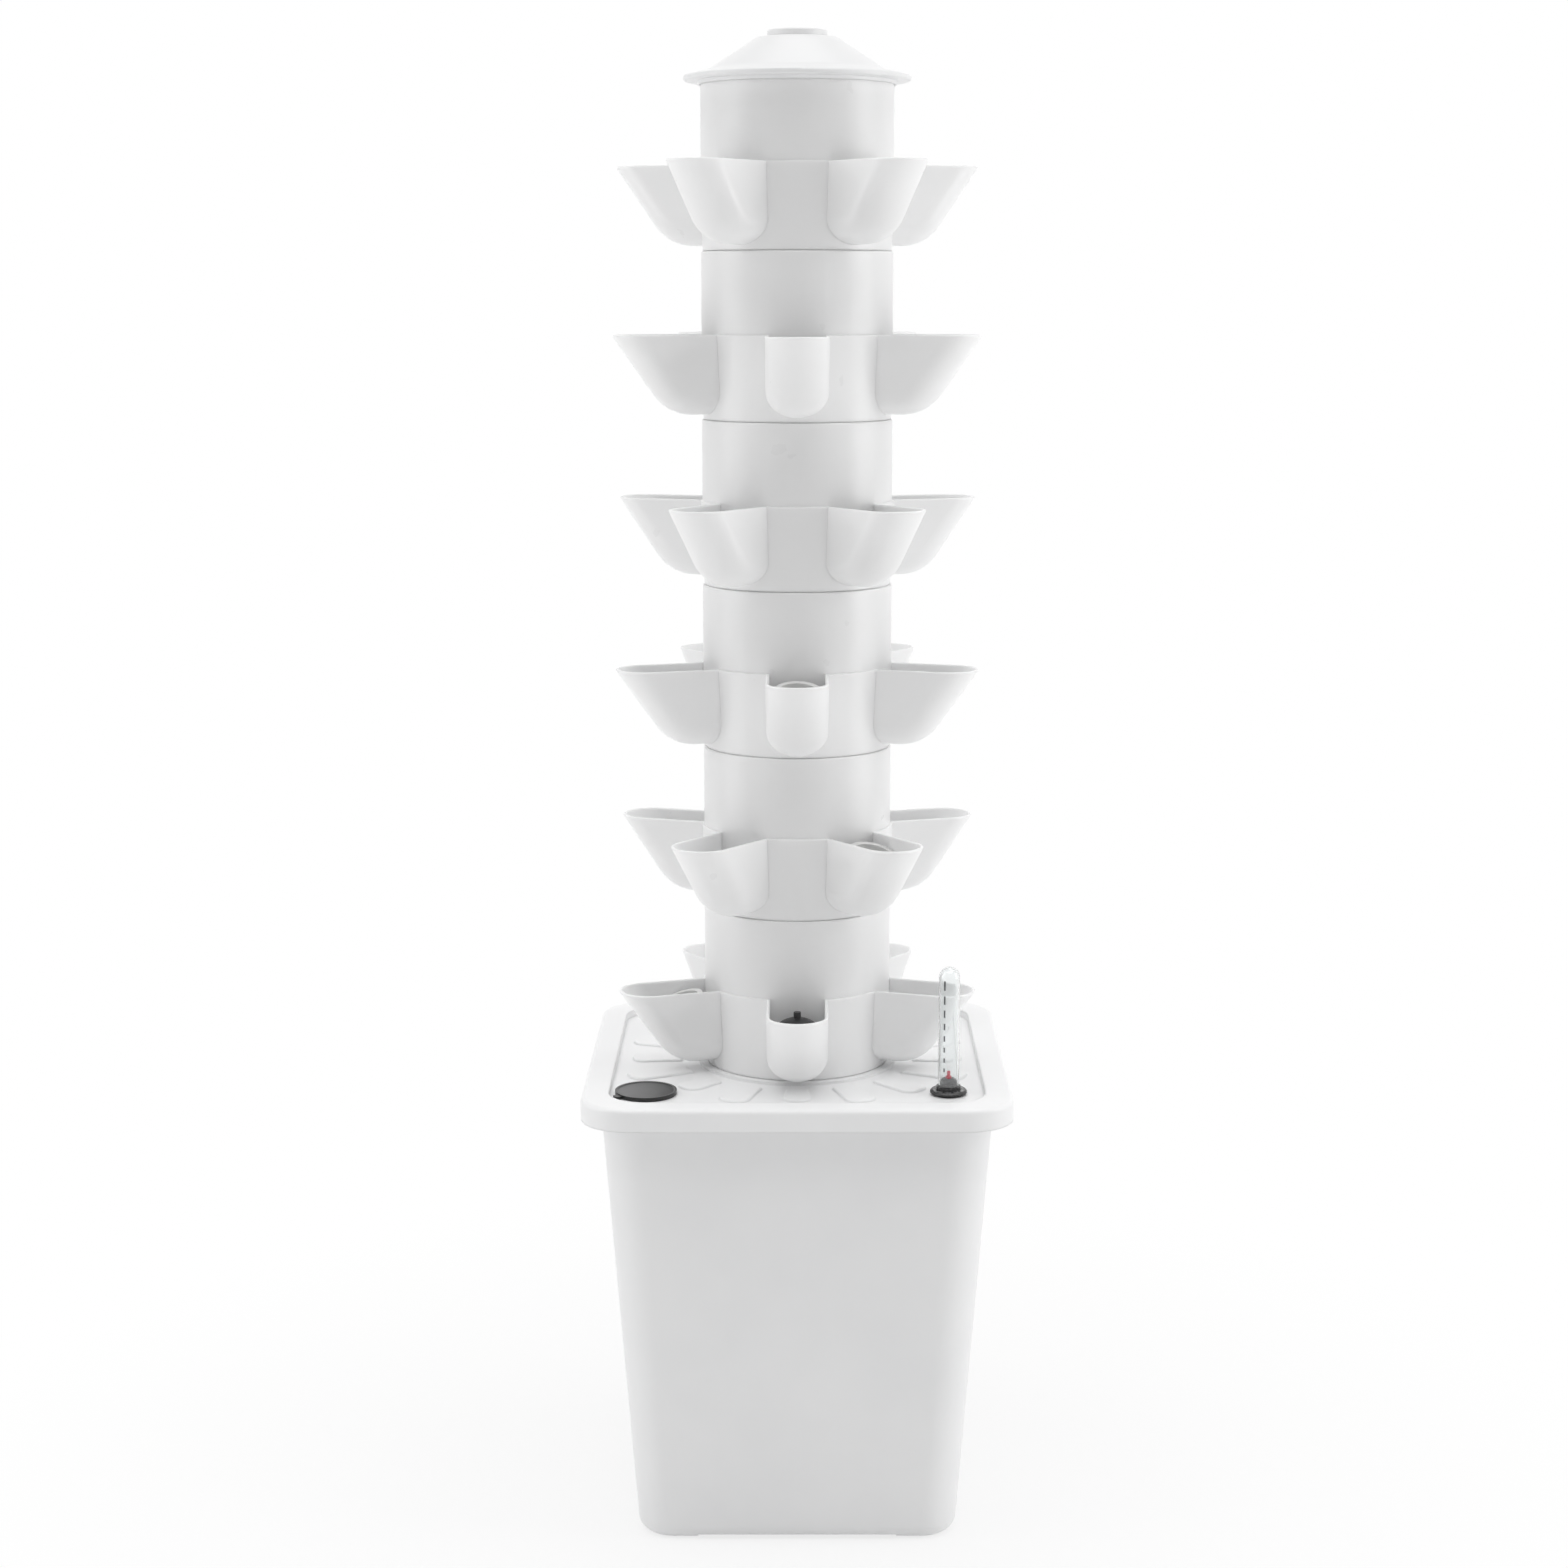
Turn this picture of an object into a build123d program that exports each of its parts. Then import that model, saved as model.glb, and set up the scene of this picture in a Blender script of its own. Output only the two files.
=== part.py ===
from build123d import *
import math
import os

# Hydroponic tower: a water tank with a lid, six stacked planting tiers and a pump that
# lifts water up the middle.
# Millimetres. The origin is on the floor under the tower's axis, +Z is up and the front is -Y.

# Fits
SEAT_GAP = 0.3
SLIDE_GAP = 0.5
RUN_GAP = 0.05

# Tank
TANK_FLOOR_WIDTH = 262.0
TANK_MOUTH_WIDTH = 317.0
TANK_HEIGHT = 376.7
TANK_WALL = 2.6
TANK_FLOOR_THICKNESS = 3.0
TANK_FLOOR_CORNER = 30.0
TANK_MOUTH_CORNER = 36.0
TANK_HEEL = 12.0
TANK_RIM_THICKNESS = 4.0
FOOT_HEIGHT = 4.0
FOOT_SPACING = 164.0

# Lid
LID_OVERHANG = 15.0
LID_CORNER = 42.0
LID_SKIRT = 18.5
LID_WALL = 3.0
LID_EDGE = 4.0
PANEL_GAP = 1.4
PANEL_CORNER = 30.0
PANEL_SUNK = 6.0
BOSS_HEIGHT = 2.0
BOSS_WIDTH = 8.5
SOCKET_DEPTH = 20.0
SPIDER_RIB = 4.0
SPIDER_HEIGHT = 6.0
SPIDER_RIBS = 4
SPIDER_TURN = 45.0
GUIDE_WALL = 2.5

# Raised petals on the lid's panel
PETAL_COUNT = 16
PETAL_ANGLE = 11.0
PETAL_GAP = 14.0
PETAL_HEIGHT = 1.8
PETAL_CORNER = 10.0
PETAL_EDGE = 1.6
PETAL_FRONT_MARGIN = 20.5
PETAL_SIDE_MARGIN = 12.5
PETAL_LONGEST = 165.0
PETAL_FITTING_MARGIN = 5.0

# Fittings in the lid's corners
FITTING_SIDE_INSET = 29.0
FITTING_FRONT_INSET = 45.5
FILL_CAP_RADIUS = 25.0
FILL_CAP_THICKNESS = 3.2
FILL_CAP_SINK = 0.7
FILL_CAP_EDGE = 1.8
FILL_PLUG_RADIUS = 21.5
FILL_PLUG_WALL = 2.0
FILL_PLUG_DEPTH = 9.0
FILL_TAB_LENGTH = 5.0
FILL_TAB_WIDTH = 7.0
FILL_TAB_CORNER = 2.3
FILL_TAB_ANGLE = 215.0
GROMMET_BORE = 4.0
GROMMET_NECK = 8.0
GROMMET_FLANGE = 11.5
GROMMET_FLANGE_THICKNESS = 2.5

# Level gauge
GAUGE_FLANGE_RADIUS = 15.0
GAUGE_FLANGE_THICKNESS = 2.5
GAUGE_SEAL_THICKNESS = 1.5
GAUGE_SEAL_RADIUS = 12.5
GAUGE_COLLAR_RADIUS = 9.8
GAUGE_COLLAR_HEIGHT = 3.0
GAUGE_NECK_RADIUS = 6.4
GAUGE_NECK_HEIGHT = 6.0
GAUGE_RING_HEIGHT = 1.2
GAUGE_STEM_RADIUS = 8.0
GAUGE_STEM_LENGTH = 16.0
GAUGE_NUT_SIDES = 6
GAUGE_NUT_WIDTH = 25.0
GAUGE_NUT_HEIGHT = 7.0
GAUGE_TUBE_RADIUS = 8.5
GAUGE_TUBE_WALL = 1.2
GAUGE_HEIGHT = 105.5
ROD_RADIUS = 1.35
ROD_HEAD_RADIUS = 2.4
ROD_HEAD_HEIGHT = 1.6
ROD_SHOWING = 6.0
FLOAT_RADIUS = 11.0
FLOAT_HEIGHT = 40.0
FLOAT_EDGE = 4.0
FLOAT_DROP = 150.0
FLOAT_SOCKET = 12.0

# Planting tiers
TIER_COUNT = 6
TIER_PITCH = 134.0
TUBE_RADIUS = 77.5
TUBE_WALL = 3.0
TUBE_CHAMFER = 1.0
COLLAR_HEIGHT = 68.0
COLLAR_FOOT_INSET = 1.3
COLLAR_RIM_STEP = 1.8
COLLAR_WALL = 2.6
COLLAR_STEP = 6.0
SPIGOT_LENGTH = 12.0
SPIGOT_WALL = 2.5

# Pockets, five to a tier, leaning out from the collar
POCKETS = 5
POCKET_HALF_WIDTH = 24.8
POCKET_NOSE = 20.0
POCKET_WALL = 2.5
POCKET_OVERHANG = 77.0
POCKET_LEAN = 35.7
POCKET_DEPTH = 63.8
POCKET_BEND = 38.0
POCKET_LIP = 1.0
POCKET_SKIRT = 28.0

# Net cups, tilted outward in one pocket of each tier, counted from the one at or right of the front
NET_CUP_TILT = 20.0
NET_CUP_HEIGHT = 46.0
NET_CUP_RIM_RADIUS = 20.9
NET_CUP_RIM_THICKNESS = 1.6
NET_CUP_TOP_RADIUS = 18.6
NET_CUP_FLOOR_RADIUS = 13.3
NET_CUP_WALL = 1.5
NET_CUP_REST = 9.4
NET_CUP_OUT = 10.5
NET_CUP_SLOTS = 8
NET_CUP_SLOT_WIDTH = 4.0
NET_CUP_SLOT_MARGIN = 7.0
NET_CUP_FLOOR_HOLE = 5.0
PLANTED_POCKETS = (0, -1, 0, 0, 0, -1)

# Domed plug in the lowest front pocket
PLUG_OUT = 19.5
PLUG_RADIUS = 17.5
PLUG_WALL = 2.0
PLUG_DOME = 7.5
PLUG_TOP = 9.0
PLUG_NUB_RADIUS = 3.0
PLUG_NUB_HEIGHT = 4.5
PLUG_TAPER_DEPTH = 42.0
PLUG_REST = 5.1
PLUG_TIP_RADIUS = 4.5

# Top cap
CAP_BRIM_OVERHANG = 13.5
CAP_BRIM_DROP = 0.8
CAP_BRIM_THICKNESS = 3.9
CAP_BRIM_EDGE = 1.6
CAP_SKIRT = 3.0
CAP_SKIRT_WALL = 1.6
CAP_FLARE_INSET = 6.5
CAP_FLARE_HEIGHT = 7.8
CAP_FLARE_ROUND = 14.0
CAP_SHOULDER_RADIUS = 32.5
CAP_SHOULDER_HEIGHT = 33.0
CAP_SHOULDER_ROUND = 7.0
CAP_KNOB_RADIUS = 24.0
CAP_KNOB_BASE = 33.6
CAP_HEIGHT = 38.8
CAP_KNOB_EDGE = 1.5
CAP_WALL = 2.5
CAP_RING_GAP = 3.5
CAP_RING_DEPTH = 6.0

# Drip tray
TRAY_FLANGE_INSET = 1.1
TRAY_THICKNESS = 2.0
TRAY_GAP = 3.0
TRAY_DEPTH = 14.0
TRAY_SOCKET_LENGTH = 10.0
TRAY_SOCKET_WALL = 2.5
TRAY_HOLES = 20
TRAY_HOLE_RADIUS = 2.0
TRAY_HOLE_INSET = 7.5

# Riser pipe
RISER_RADIUS = 10.0
RISER_WALL = 1.8
RISER_ABOVE_TRAY = 6.0
COUPLER_LENGTH = 40.0
COUPLER_WALL = 2.2
COUPLER_STOP = 2.0
RISER_LOWER_JOINT = 480.0
RISER_UPPER_JOINT = 830.0

# Pump
PUMP_WIDTH = 56.0
PUMP_HEIGHT = 46.0
PUMP_FRONT = 14.0
PUMP_BACK = 46.0
PUMP_CORNER = 6.0
PUMP_CHAMBER_RADIUS = 19.0
PUMP_CHAMBER_BACK = 10.0
PUMP_WELL_RADIUS = 9.0
PUMP_WELL_DEPTH = 28.0
PUMP_COVER_THICKNESS = 3.0
PUMP_COVER_WIDTH = 50.0
PUMP_COVER_HEIGHT = 42.0
PUMP_INLET_RADIUS = 8.0
PUMP_BRIDGE = 6.0
PUMP_STRAINER_DEPTH = 16.0
PUMP_STRAINER_WALL = 2.0
PUMP_STRAINER_SLOTS = 7
PUMP_SLOT_WIDTH = 3.0
PUMP_SHAFT_RADIUS = 1.5
PUMP_SHAFT_SOCKET = 4.0
PUMP_HUB_RADIUS = 5.5
PUMP_BLADE_RADIUS = 16.5
PUMP_BLADE_THICKNESS = 1.8
PUMP_BLADE_LENGTH = 14.0
PUMP_BLADES = 6
PUMP_MAGNET_RADIUS = 8.0
PUMP_MAGNET_LENGTH = 24.0
PUMP_END_PLAY = 0.8
PUMP_OUTLET_BORE = 6.0
PUMP_OUTLET_LENGTH = 20.0
PUMP_OUTLET_FLANGE = 11.0
PUMP_OUTLET_FLANGE_THICKNESS = 2.0
PUMP_CUP_RADIUS = 9.0
PUMP_CUP_NECK = 5.0
PUMP_CUP_HEIGHT = 7.0
PUMP_CUP_INSET = 12.0
PUMP_GLAND_RADIUS = 5.5
PUMP_GLAND_BORE = 3.2
PUMP_GLAND_LENGTH = 10.0

# Widths, heights and places worked out from the sizes above
TANK_FLOOR_TOP = FOOT_HEIGHT + TANK_FLOOR_THICKNESS
LID_WIDTH = TANK_MOUTH_WIDTH + 2 * LID_OVERHANG
LID_TOP = TANK_HEIGHT + SEAT_GAP + LID_WALL
LID_BOTTOM = LID_TOP - LID_SKIRT
PANEL_WIDTH = TANK_MOUTH_WIDTH - 2 * (TANK_WALL + PANEL_GAP + LID_WALL)
PANEL_TOP = LID_TOP - PANEL_SUNK
PANEL_BOTTOM = PANEL_TOP - LID_WALL
BOSS_TOP = PANEL_TOP + BOSS_HEIGHT
TOWER_BASE = BOSS_TOP + SEAT_GAP
TUBE_TOP = TIER_PITCH - SEAT_GAP
TOWER_TOP = TOWER_BASE + TIER_COUNT * TIER_PITCH - SEAT_GAP
TUBE_BORE = TUBE_RADIUS - TUBE_WALL
SPIGOT_RADIUS = TUBE_BORE - SLIDE_GAP
COLLAR_FOOT_RADIUS = TUBE_RADIUS - COLLAR_FOOT_INSET
COLLAR_RIM_RADIUS = TUBE_RADIUS + COLLAR_RIM_STEP
BOSS_RADIUS = TUBE_BORE + BOSS_WIDTH
PETAL_START = BOSS_RADIUS + PETAL_GAP
FITTING_X = PANEL_WIDTH / 2 - FITTING_SIDE_INSET
FITTING_Y = PANEL_WIDTH / 2 - FITTING_FRONT_INSET
FILL_SPOT = (-FITTING_X, -FITTING_Y)
GAUGE_SPOT = (FITTING_X, -FITTING_Y)
CORD_SPOT = (FITTING_X, FITTING_Y)
FITTINGS = ((FILL_SPOT, FILL_CAP_RADIUS), (GAUGE_SPOT, GAUGE_FLANGE_RADIUS), (CORD_SPOT, GROMMET_FLANGE))
POCKET_STEP = 360 / POCKETS
POCKET_REACH = TUBE_RADIUS + POCKET_OVERHANG
NET_CUP_SEAT = TUBE_RADIUS + NET_CUP_OUT
NET_CUP_SINK = POCKET_DEPTH - NET_CUP_REST
PLUG_SEAT = TUBE_RADIUS + PLUG_OUT
PLUG_TIP_DEPTH = POCKET_DEPTH - PLUG_REST
TRAY_FLANGE_RADIUS = TUBE_RADIUS - TRAY_FLANGE_INSET
TRAY_RADIUS = TUBE_BORE - TRAY_GAP
TRAY_HOLE_CIRCLE = TRAY_RADIUS - TRAY_HOLE_INSET
CAP_BRIM_RADIUS = TUBE_RADIUS + CAP_BRIM_OVERHANG
CAP_FLARE_RADIUS = TUBE_RADIUS - CAP_FLARE_INSET
CAP_RING_RADIUS = TRAY_RADIUS - TRAY_THICKNESS - CAP_RING_GAP
OVERCUT = 1.0
RIM_TOLERANCE = 0.01
OUT_FROM_AXIS = (Align.MIN, Align.CENTER, Align.MIN)


def turned(outline):
    """A solid turned about Z from (radius, height) points."""
    return revolve(Plane.XZ * make_face(Polyline(*outline, close=True)), Axis.Z)


def ring(outer, inner, bottom, top):
    """A plain tube about Z between two heights."""
    return turned([(inner, bottom), (outer, bottom), (outer, top), (inner, top)])


def disc(radius, bottom, top):
    """A plain round disc about Z between two heights."""
    return Pos(0, 0, bottom) * Cylinder(radius, top - bottom, align=(Align.CENTER, Align.CENTER, Align.MIN))


def rounded_slab(width, corner, bottom, top):
    """A square slab with round corners between two heights."""
    return extrude(Pos(0, 0, bottom) * RectangleRounded(width, width, corner), top - bottom)


def domed_post(radius, bottom, shoulder):
    """A round post about Z with a half ball on its top."""
    return disc(radius, bottom, shoulder) + Pos(0, 0, shoulder) * Sphere(radius)


# Tank
def tank_width(height):
    """Outer width of the tapered tank at a height."""
    return TANK_FLOOR_WIDTH + (TANK_MOUTH_WIDTH - TANK_FLOOR_WIDTH) * height / TANK_HEIGHT


def tank_corner(height):
    """Outer corner radius of the tank at a height."""
    return TANK_FLOOR_CORNER + (TANK_MOUTH_CORNER - TANK_FLOOR_CORNER) * height / TANK_HEIGHT


def tank_form(inset, bottom, top):
    """The tapered body, drawn in by the wall, with its lower edge rounded."""
    sections = []
    for height in (bottom, top):
        width = tank_width(height) - 2 * inset
        sections.append(Pos(0, 0, height) * RectangleRounded(width, width, tank_corner(height) - inset))
    body = loft(sections, ruled=True)
    heel = body.faces().sort_by(Axis.Z)[0].edges()
    return fillet(heel, TANK_HEEL - inset)


def make_tank():
    body = tank_form(0, 0, TANK_HEIGHT)
    rim_width = LID_WIDTH - 2 * (LID_WALL + SLIDE_GAP)
    rim_corner = LID_CORNER - LID_WALL - SLIDE_GAP
    rim = rounded_slab(rim_width, rim_corner, TANK_HEIGHT - TANK_RIM_THICKNESS, TANK_HEIGHT)
    inside = tank_form(TANK_WALL, TANK_FLOOR_TOP, TANK_HEIGHT + OVERCUT)
    gap_along_x = Box(LID_WIDTH, FOOT_SPACING, 2 * FOOT_HEIGHT)
    gap_along_y = Box(FOOT_SPACING, LID_WIDTH, 2 * FOOT_HEIGHT)
    return body + rim - inside - gap_along_x - gap_along_y


# Lid
def petal_end(angle):
    """How far a petal reaches: short of the panel's edge and of any fitting in its way."""
    turn = math.radians(angle)
    front_room = PANEL_WIDTH / 2 - PETAL_FRONT_MARGIN
    side_room = PANEL_WIDTH / 2 - PETAL_SIDE_MARGIN
    nearest = max(abs(math.cos(turn)) / front_room, abs(math.sin(turn)) / side_room, 1 / PETAL_LONGEST)
    end = 1 / nearest
    half_width = PETAL_LONGEST * math.tan(math.radians(PETAL_ANGLE / 2))
    for (x, y), radius in FITTINGS:
        along = math.sin(turn) * x - math.cos(turn) * y
        beside = abs(math.cos(turn) * x + math.sin(turn) * y)
        if along > 0 and beside < radius + half_width:
            end = min(end, along - radius - PETAL_FITTING_MARGIN)
    return end


def petal(angle):
    """One raised petal, pointing out at an angle from the front."""
    end = petal_end(angle)
    spread = math.tan(math.radians(PETAL_ANGLE / 2))
    inner = PETAL_START * spread
    outer = end * spread
    corners = [(PETAL_START, -inner), (end, -outer), (end, outer), (PETAL_START, inner)]
    face = make_face(Polyline(*corners, close=True))
    corner = min(PETAL_CORNER, (end - PETAL_START) / 2)
    face = fillet(face.vertices().sort_by(Axis.X)[2:], corner)
    solid = extrude(face, LID_WALL / 2 + PETAL_HEIGHT)
    solid = fillet(solid.faces().sort_by(Axis.Z)[-1].edges(), PETAL_EDGE)
    return Rot(0, 0, angle - 90) * Pos(0, 0, PANEL_TOP - LID_WALL / 2) * solid


def make_lid():
    body = rounded_slab(LID_WIDTH, LID_CORNER, LID_BOTTOM, LID_TOP)
    body = fillet(body.faces().sort_by(Axis.Z)[-1].edges(), LID_EDGE)
    sunk_panel = rounded_slab(PANEL_WIDTH, PANEL_CORNER, PANEL_TOP, LID_TOP + OVERCUT)
    step_width = PANEL_WIDTH + 2 * LID_WALL
    step_corner = PANEL_CORNER + LID_WALL
    under_panel = rounded_slab(step_width, step_corner, LID_BOTTOM - OVERCUT, PANEL_BOTTOM)
    inner_width = LID_WIDTH - 2 * LID_WALL
    skirt_room = rounded_slab(inner_width, LID_CORNER - LID_WALL, LID_BOTTOM - OVERCUT, LID_TOP - LID_WALL)
    step_core = rounded_slab(step_width, step_corner, LID_BOTTOM - 2 * OVERCUT, LID_TOP)
    body = body - sunk_panel - under_panel - (skirt_room - step_core)
    for index in range(PETAL_COUNT):
        body += petal(index * 360 / PETAL_COUNT)
    body += disc(BOSS_RADIUS, PANEL_BOTTOM, BOSS_TOP)
    socket_bottom = PANEL_TOP - SOCKET_DEPTH
    body += disc(TUBE_BORE + LID_WALL, socket_bottom, PANEL_TOP)
    body -= disc(TUBE_BORE, socket_bottom - OVERCUT, BOSS_TOP + OVERCUT)
    guide_bore = RISER_RADIUS + SLIDE_GAP
    spider_top = socket_bottom + SPIDER_HEIGHT
    spider = ring(guide_bore + GUIDE_WALL, guide_bore, socket_bottom, spider_top)
    rib_start = guide_bore + GUIDE_WALL / 2
    rib_length = TUBE_BORE + LID_WALL / 2 - rib_start
    rib = Pos(rib_start, 0, socket_bottom) * Box(rib_length, SPIDER_RIB, SPIDER_HEIGHT, align=OUT_FROM_AXIS)
    for index in range(SPIDER_RIBS):
        spider += Rot(0, 0, SPIDER_TURN + index * 360 / SPIDER_RIBS) * rib
    body += spider
    for spot, radius in (
        (FILL_SPOT, FILL_PLUG_RADIUS + SLIDE_GAP),
        (GAUGE_SPOT, GAUGE_STEM_RADIUS + SEAT_GAP),
        (CORD_SPOT, GROMMET_NECK + SEAT_GAP),
    ):
        body -= Pos(*spot, 0) * disc(radius, PANEL_BOTTOM - OVERCUT, PANEL_TOP + OVERCUT)
    return body


def make_fill_cap():
    base = PANEL_TOP + SEAT_GAP
    top = base + FILL_CAP_THICKNESS
    sunk = top - FILL_CAP_SINK
    rim = FILL_CAP_RADIUS - FILL_CAP_EDGE
    cap = turned([
        (0, base), (FILL_CAP_RADIUS, base), (FILL_CAP_RADIUS, top), (rim, top),
        (rim - FILL_CAP_SINK, sunk), (0, sunk),
    ])
    plug_inner = FILL_PLUG_RADIUS - FILL_PLUG_WALL
    cap += ring(FILL_PLUG_RADIUS, plug_inner, base - FILL_PLUG_DEPTH, base + FILL_CAP_SINK)
    tab_height = FILL_CAP_THICKNESS - FILL_CAP_SINK
    tab = Box(FILL_TAB_LENGTH + FILL_CAP_EDGE, FILL_TAB_WIDTH, tab_height, align=OUT_FROM_AXIS)
    tab = fillet(tab.edges().filter_by(Axis.Z).sort_by(Axis.X)[2:], FILL_TAB_CORNER)
    cap += Rot(0, 0, FILL_TAB_ANGLE) * Pos(rim, 0, base) * tab
    return Pos(*FILL_SPOT, 0) * cap


def make_cord_grommet():
    above = PANEL_TOP + GROMMET_FLANGE_THICKNESS
    below = PANEL_BOTTOM - GROMMET_FLANGE_THICKNESS
    grommet = turned([
        (GROMMET_BORE, below), (GROMMET_FLANGE, below), (GROMMET_FLANGE, PANEL_BOTTOM),
        (GROMMET_NECK, PANEL_BOTTOM), (GROMMET_NECK, PANEL_TOP), (GROMMET_FLANGE, PANEL_TOP),
        (GROMMET_FLANGE, above), (GROMMET_BORE, above),
    ])
    return Pos(*CORD_SPOT, 0) * grommet


# Level gauge
GAUGE_SEAT = PANEL_TOP + GAUGE_SEAL_THICKNESS
GAUGE_FLANGE_TOP = GAUGE_SEAT + GAUGE_FLANGE_THICKNESS
GAUGE_COLLAR_TOP = GAUGE_FLANGE_TOP + GAUGE_COLLAR_HEIGHT
GAUGE_NECK_TOP = GAUGE_COLLAR_TOP + GAUGE_NECK_HEIGHT
GAUGE_STEM_BOTTOM = PANEL_BOTTOM - GAUGE_STEM_LENGTH
GAUGE_TUBE_BORE = GAUGE_TUBE_RADIUS - GAUGE_TUBE_WALL
ROD_BORE = ROD_RADIUS + SEAT_GAP
ROD_TOP = GAUGE_NECK_TOP + SEAT_GAP + ROD_SHOWING
FLOAT_TOP = PANEL_TOP - FLOAT_DROP + FLOAT_HEIGHT


def make_gauge_base():
    rib_radius = GAUGE_TUBE_BORE - SEAT_GAP
    first_rib = GAUGE_COLLAR_TOP + 2 * GAUGE_RING_HEIGHT
    second_rib = GAUGE_COLLAR_TOP + GAUGE_NECK_HEIGHT / 2
    second_rib_top = second_rib + GAUGE_RING_HEIGHT
    flange_edge = GAUGE_FLANGE_RADIUS - GAUGE_RING_HEIGHT
    neck_edge = GAUGE_NECK_RADIUS - GAUGE_RING_HEIGHT
    base = turned([
        (ROD_BORE, GAUGE_STEM_BOTTOM), (GAUGE_STEM_RADIUS, GAUGE_STEM_BOTTOM), (GAUGE_STEM_RADIUS, GAUGE_SEAT),
        (GAUGE_FLANGE_RADIUS, GAUGE_SEAT), (GAUGE_FLANGE_RADIUS, GAUGE_FLANGE_TOP - GAUGE_RING_HEIGHT),
        (flange_edge, GAUGE_FLANGE_TOP), (GAUGE_COLLAR_RADIUS, GAUGE_FLANGE_TOP),
        (GAUGE_COLLAR_RADIUS, GAUGE_COLLAR_TOP), (rib_radius, GAUGE_COLLAR_TOP), (rib_radius, first_rib),
        (GAUGE_NECK_RADIUS, first_rib), (GAUGE_NECK_RADIUS, second_rib), (rib_radius, second_rib),
        (rib_radius, second_rib_top), (GAUGE_NECK_RADIUS, second_rib_top),
        (GAUGE_NECK_RADIUS, GAUGE_NECK_TOP - GAUGE_RING_HEIGHT), (neck_edge, GAUGE_NECK_TOP),
        (ROD_BORE, GAUGE_NECK_TOP),
    ])
    return Pos(*GAUGE_SPOT, 0) * base


def make_gauge_seal():
    return Pos(*GAUGE_SPOT, 0) * ring(GAUGE_SEAL_RADIUS, GAUGE_STEM_RADIUS + SEAT_GAP, PANEL_TOP, GAUGE_SEAT)


def make_gauge_nut():
    bottom = PANEL_BOTTOM - GAUGE_NUT_HEIGHT
    hexagon = RegularPolygon(GAUGE_NUT_WIDTH / 2, GAUGE_NUT_SIDES, major_radius=False)
    nut = extrude(Pos(0, 0, bottom) * hexagon, GAUGE_NUT_HEIGHT)
    nut -= disc(GAUGE_STEM_RADIUS + SEAT_GAP, bottom - OVERCUT, PANEL_BOTTOM + OVERCUT)
    return Pos(*GAUGE_SPOT, 0) * nut


def make_gauge_tube():
    shoulder = PANEL_TOP + GAUGE_HEIGHT - GAUGE_TUBE_RADIUS
    tube = domed_post(GAUGE_TUBE_RADIUS, GAUGE_COLLAR_TOP, shoulder)
    tube -= domed_post(GAUGE_TUBE_BORE, GAUGE_COLLAR_TOP - OVERCUT, shoulder)
    return Pos(*GAUGE_SPOT, 0) * tube


def make_gauge_rod():
    head = GAUGE_NECK_TOP + SEAT_GAP
    bottom = FLOAT_TOP - FLOAT_SOCKET + SEAT_GAP
    rod = disc(ROD_RADIUS, bottom, ROD_TOP) + disc(ROD_HEAD_RADIUS, head, head + ROD_HEAD_HEIGHT)
    rod = fillet(rod.faces().sort_by(Axis.Z)[-1].edges(), ROD_RADIUS / 2)
    return Pos(*GAUGE_SPOT, 0) * rod


def make_gauge_float():
    bottom = FLOAT_TOP - FLOAT_HEIGHT
    body = disc(FLOAT_RADIUS, bottom, FLOAT_TOP)
    body = fillet(body.edges().filter_by(GeomType.CIRCLE), FLOAT_EDGE)
    body -= disc(ROD_RADIUS + RUN_GAP, FLOAT_TOP - FLOAT_SOCKET, FLOAT_TOP + OVERCUT)
    return Pos(*GAUGE_SPOT, 0) * body


# Planting tiers
def pocket_form(half_width, nose):
    """A scoop along +X, open above a rim at height 0: round underneath and bent up into its leaning nose."""
    lean = math.radians(POCKET_LEAN)
    floor = POCKET_NOSE - POCKET_DEPTH
    mouth = POCKET_REACH - POCKET_NOSE / math.cos(lean)
    start = TUBE_BORE - POCKET_NOSE
    corner = mouth + floor * math.tan(lean)
    above = POCKET_NOSE
    bend = POCKET_BEND - POCKET_NOSE
    path = FilletPolyline(
        (start, 0, floor), (corner, 0, floor), (mouth + above * math.tan(lean), 0, above), radius=bend
    )
    belly = make_face([
        EllipticalCenterArc((0, 0), half_width, nose, start_angle=180, arc_size=180),
        Line((-half_width, 0), (half_width, 0)),
    ])
    scoop = sweep(Plane((start, 0, floor), x_dir=(0, 1, 0), z_dir=(1, 0, 0)) * belly, path=path)
    roof = Polyline(path @ 1, (start, 0, above), path @ 0)
    side = make_face(path.edges() + roof.edges())
    return scoop + extrude(side, half_width, both=True)


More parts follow.
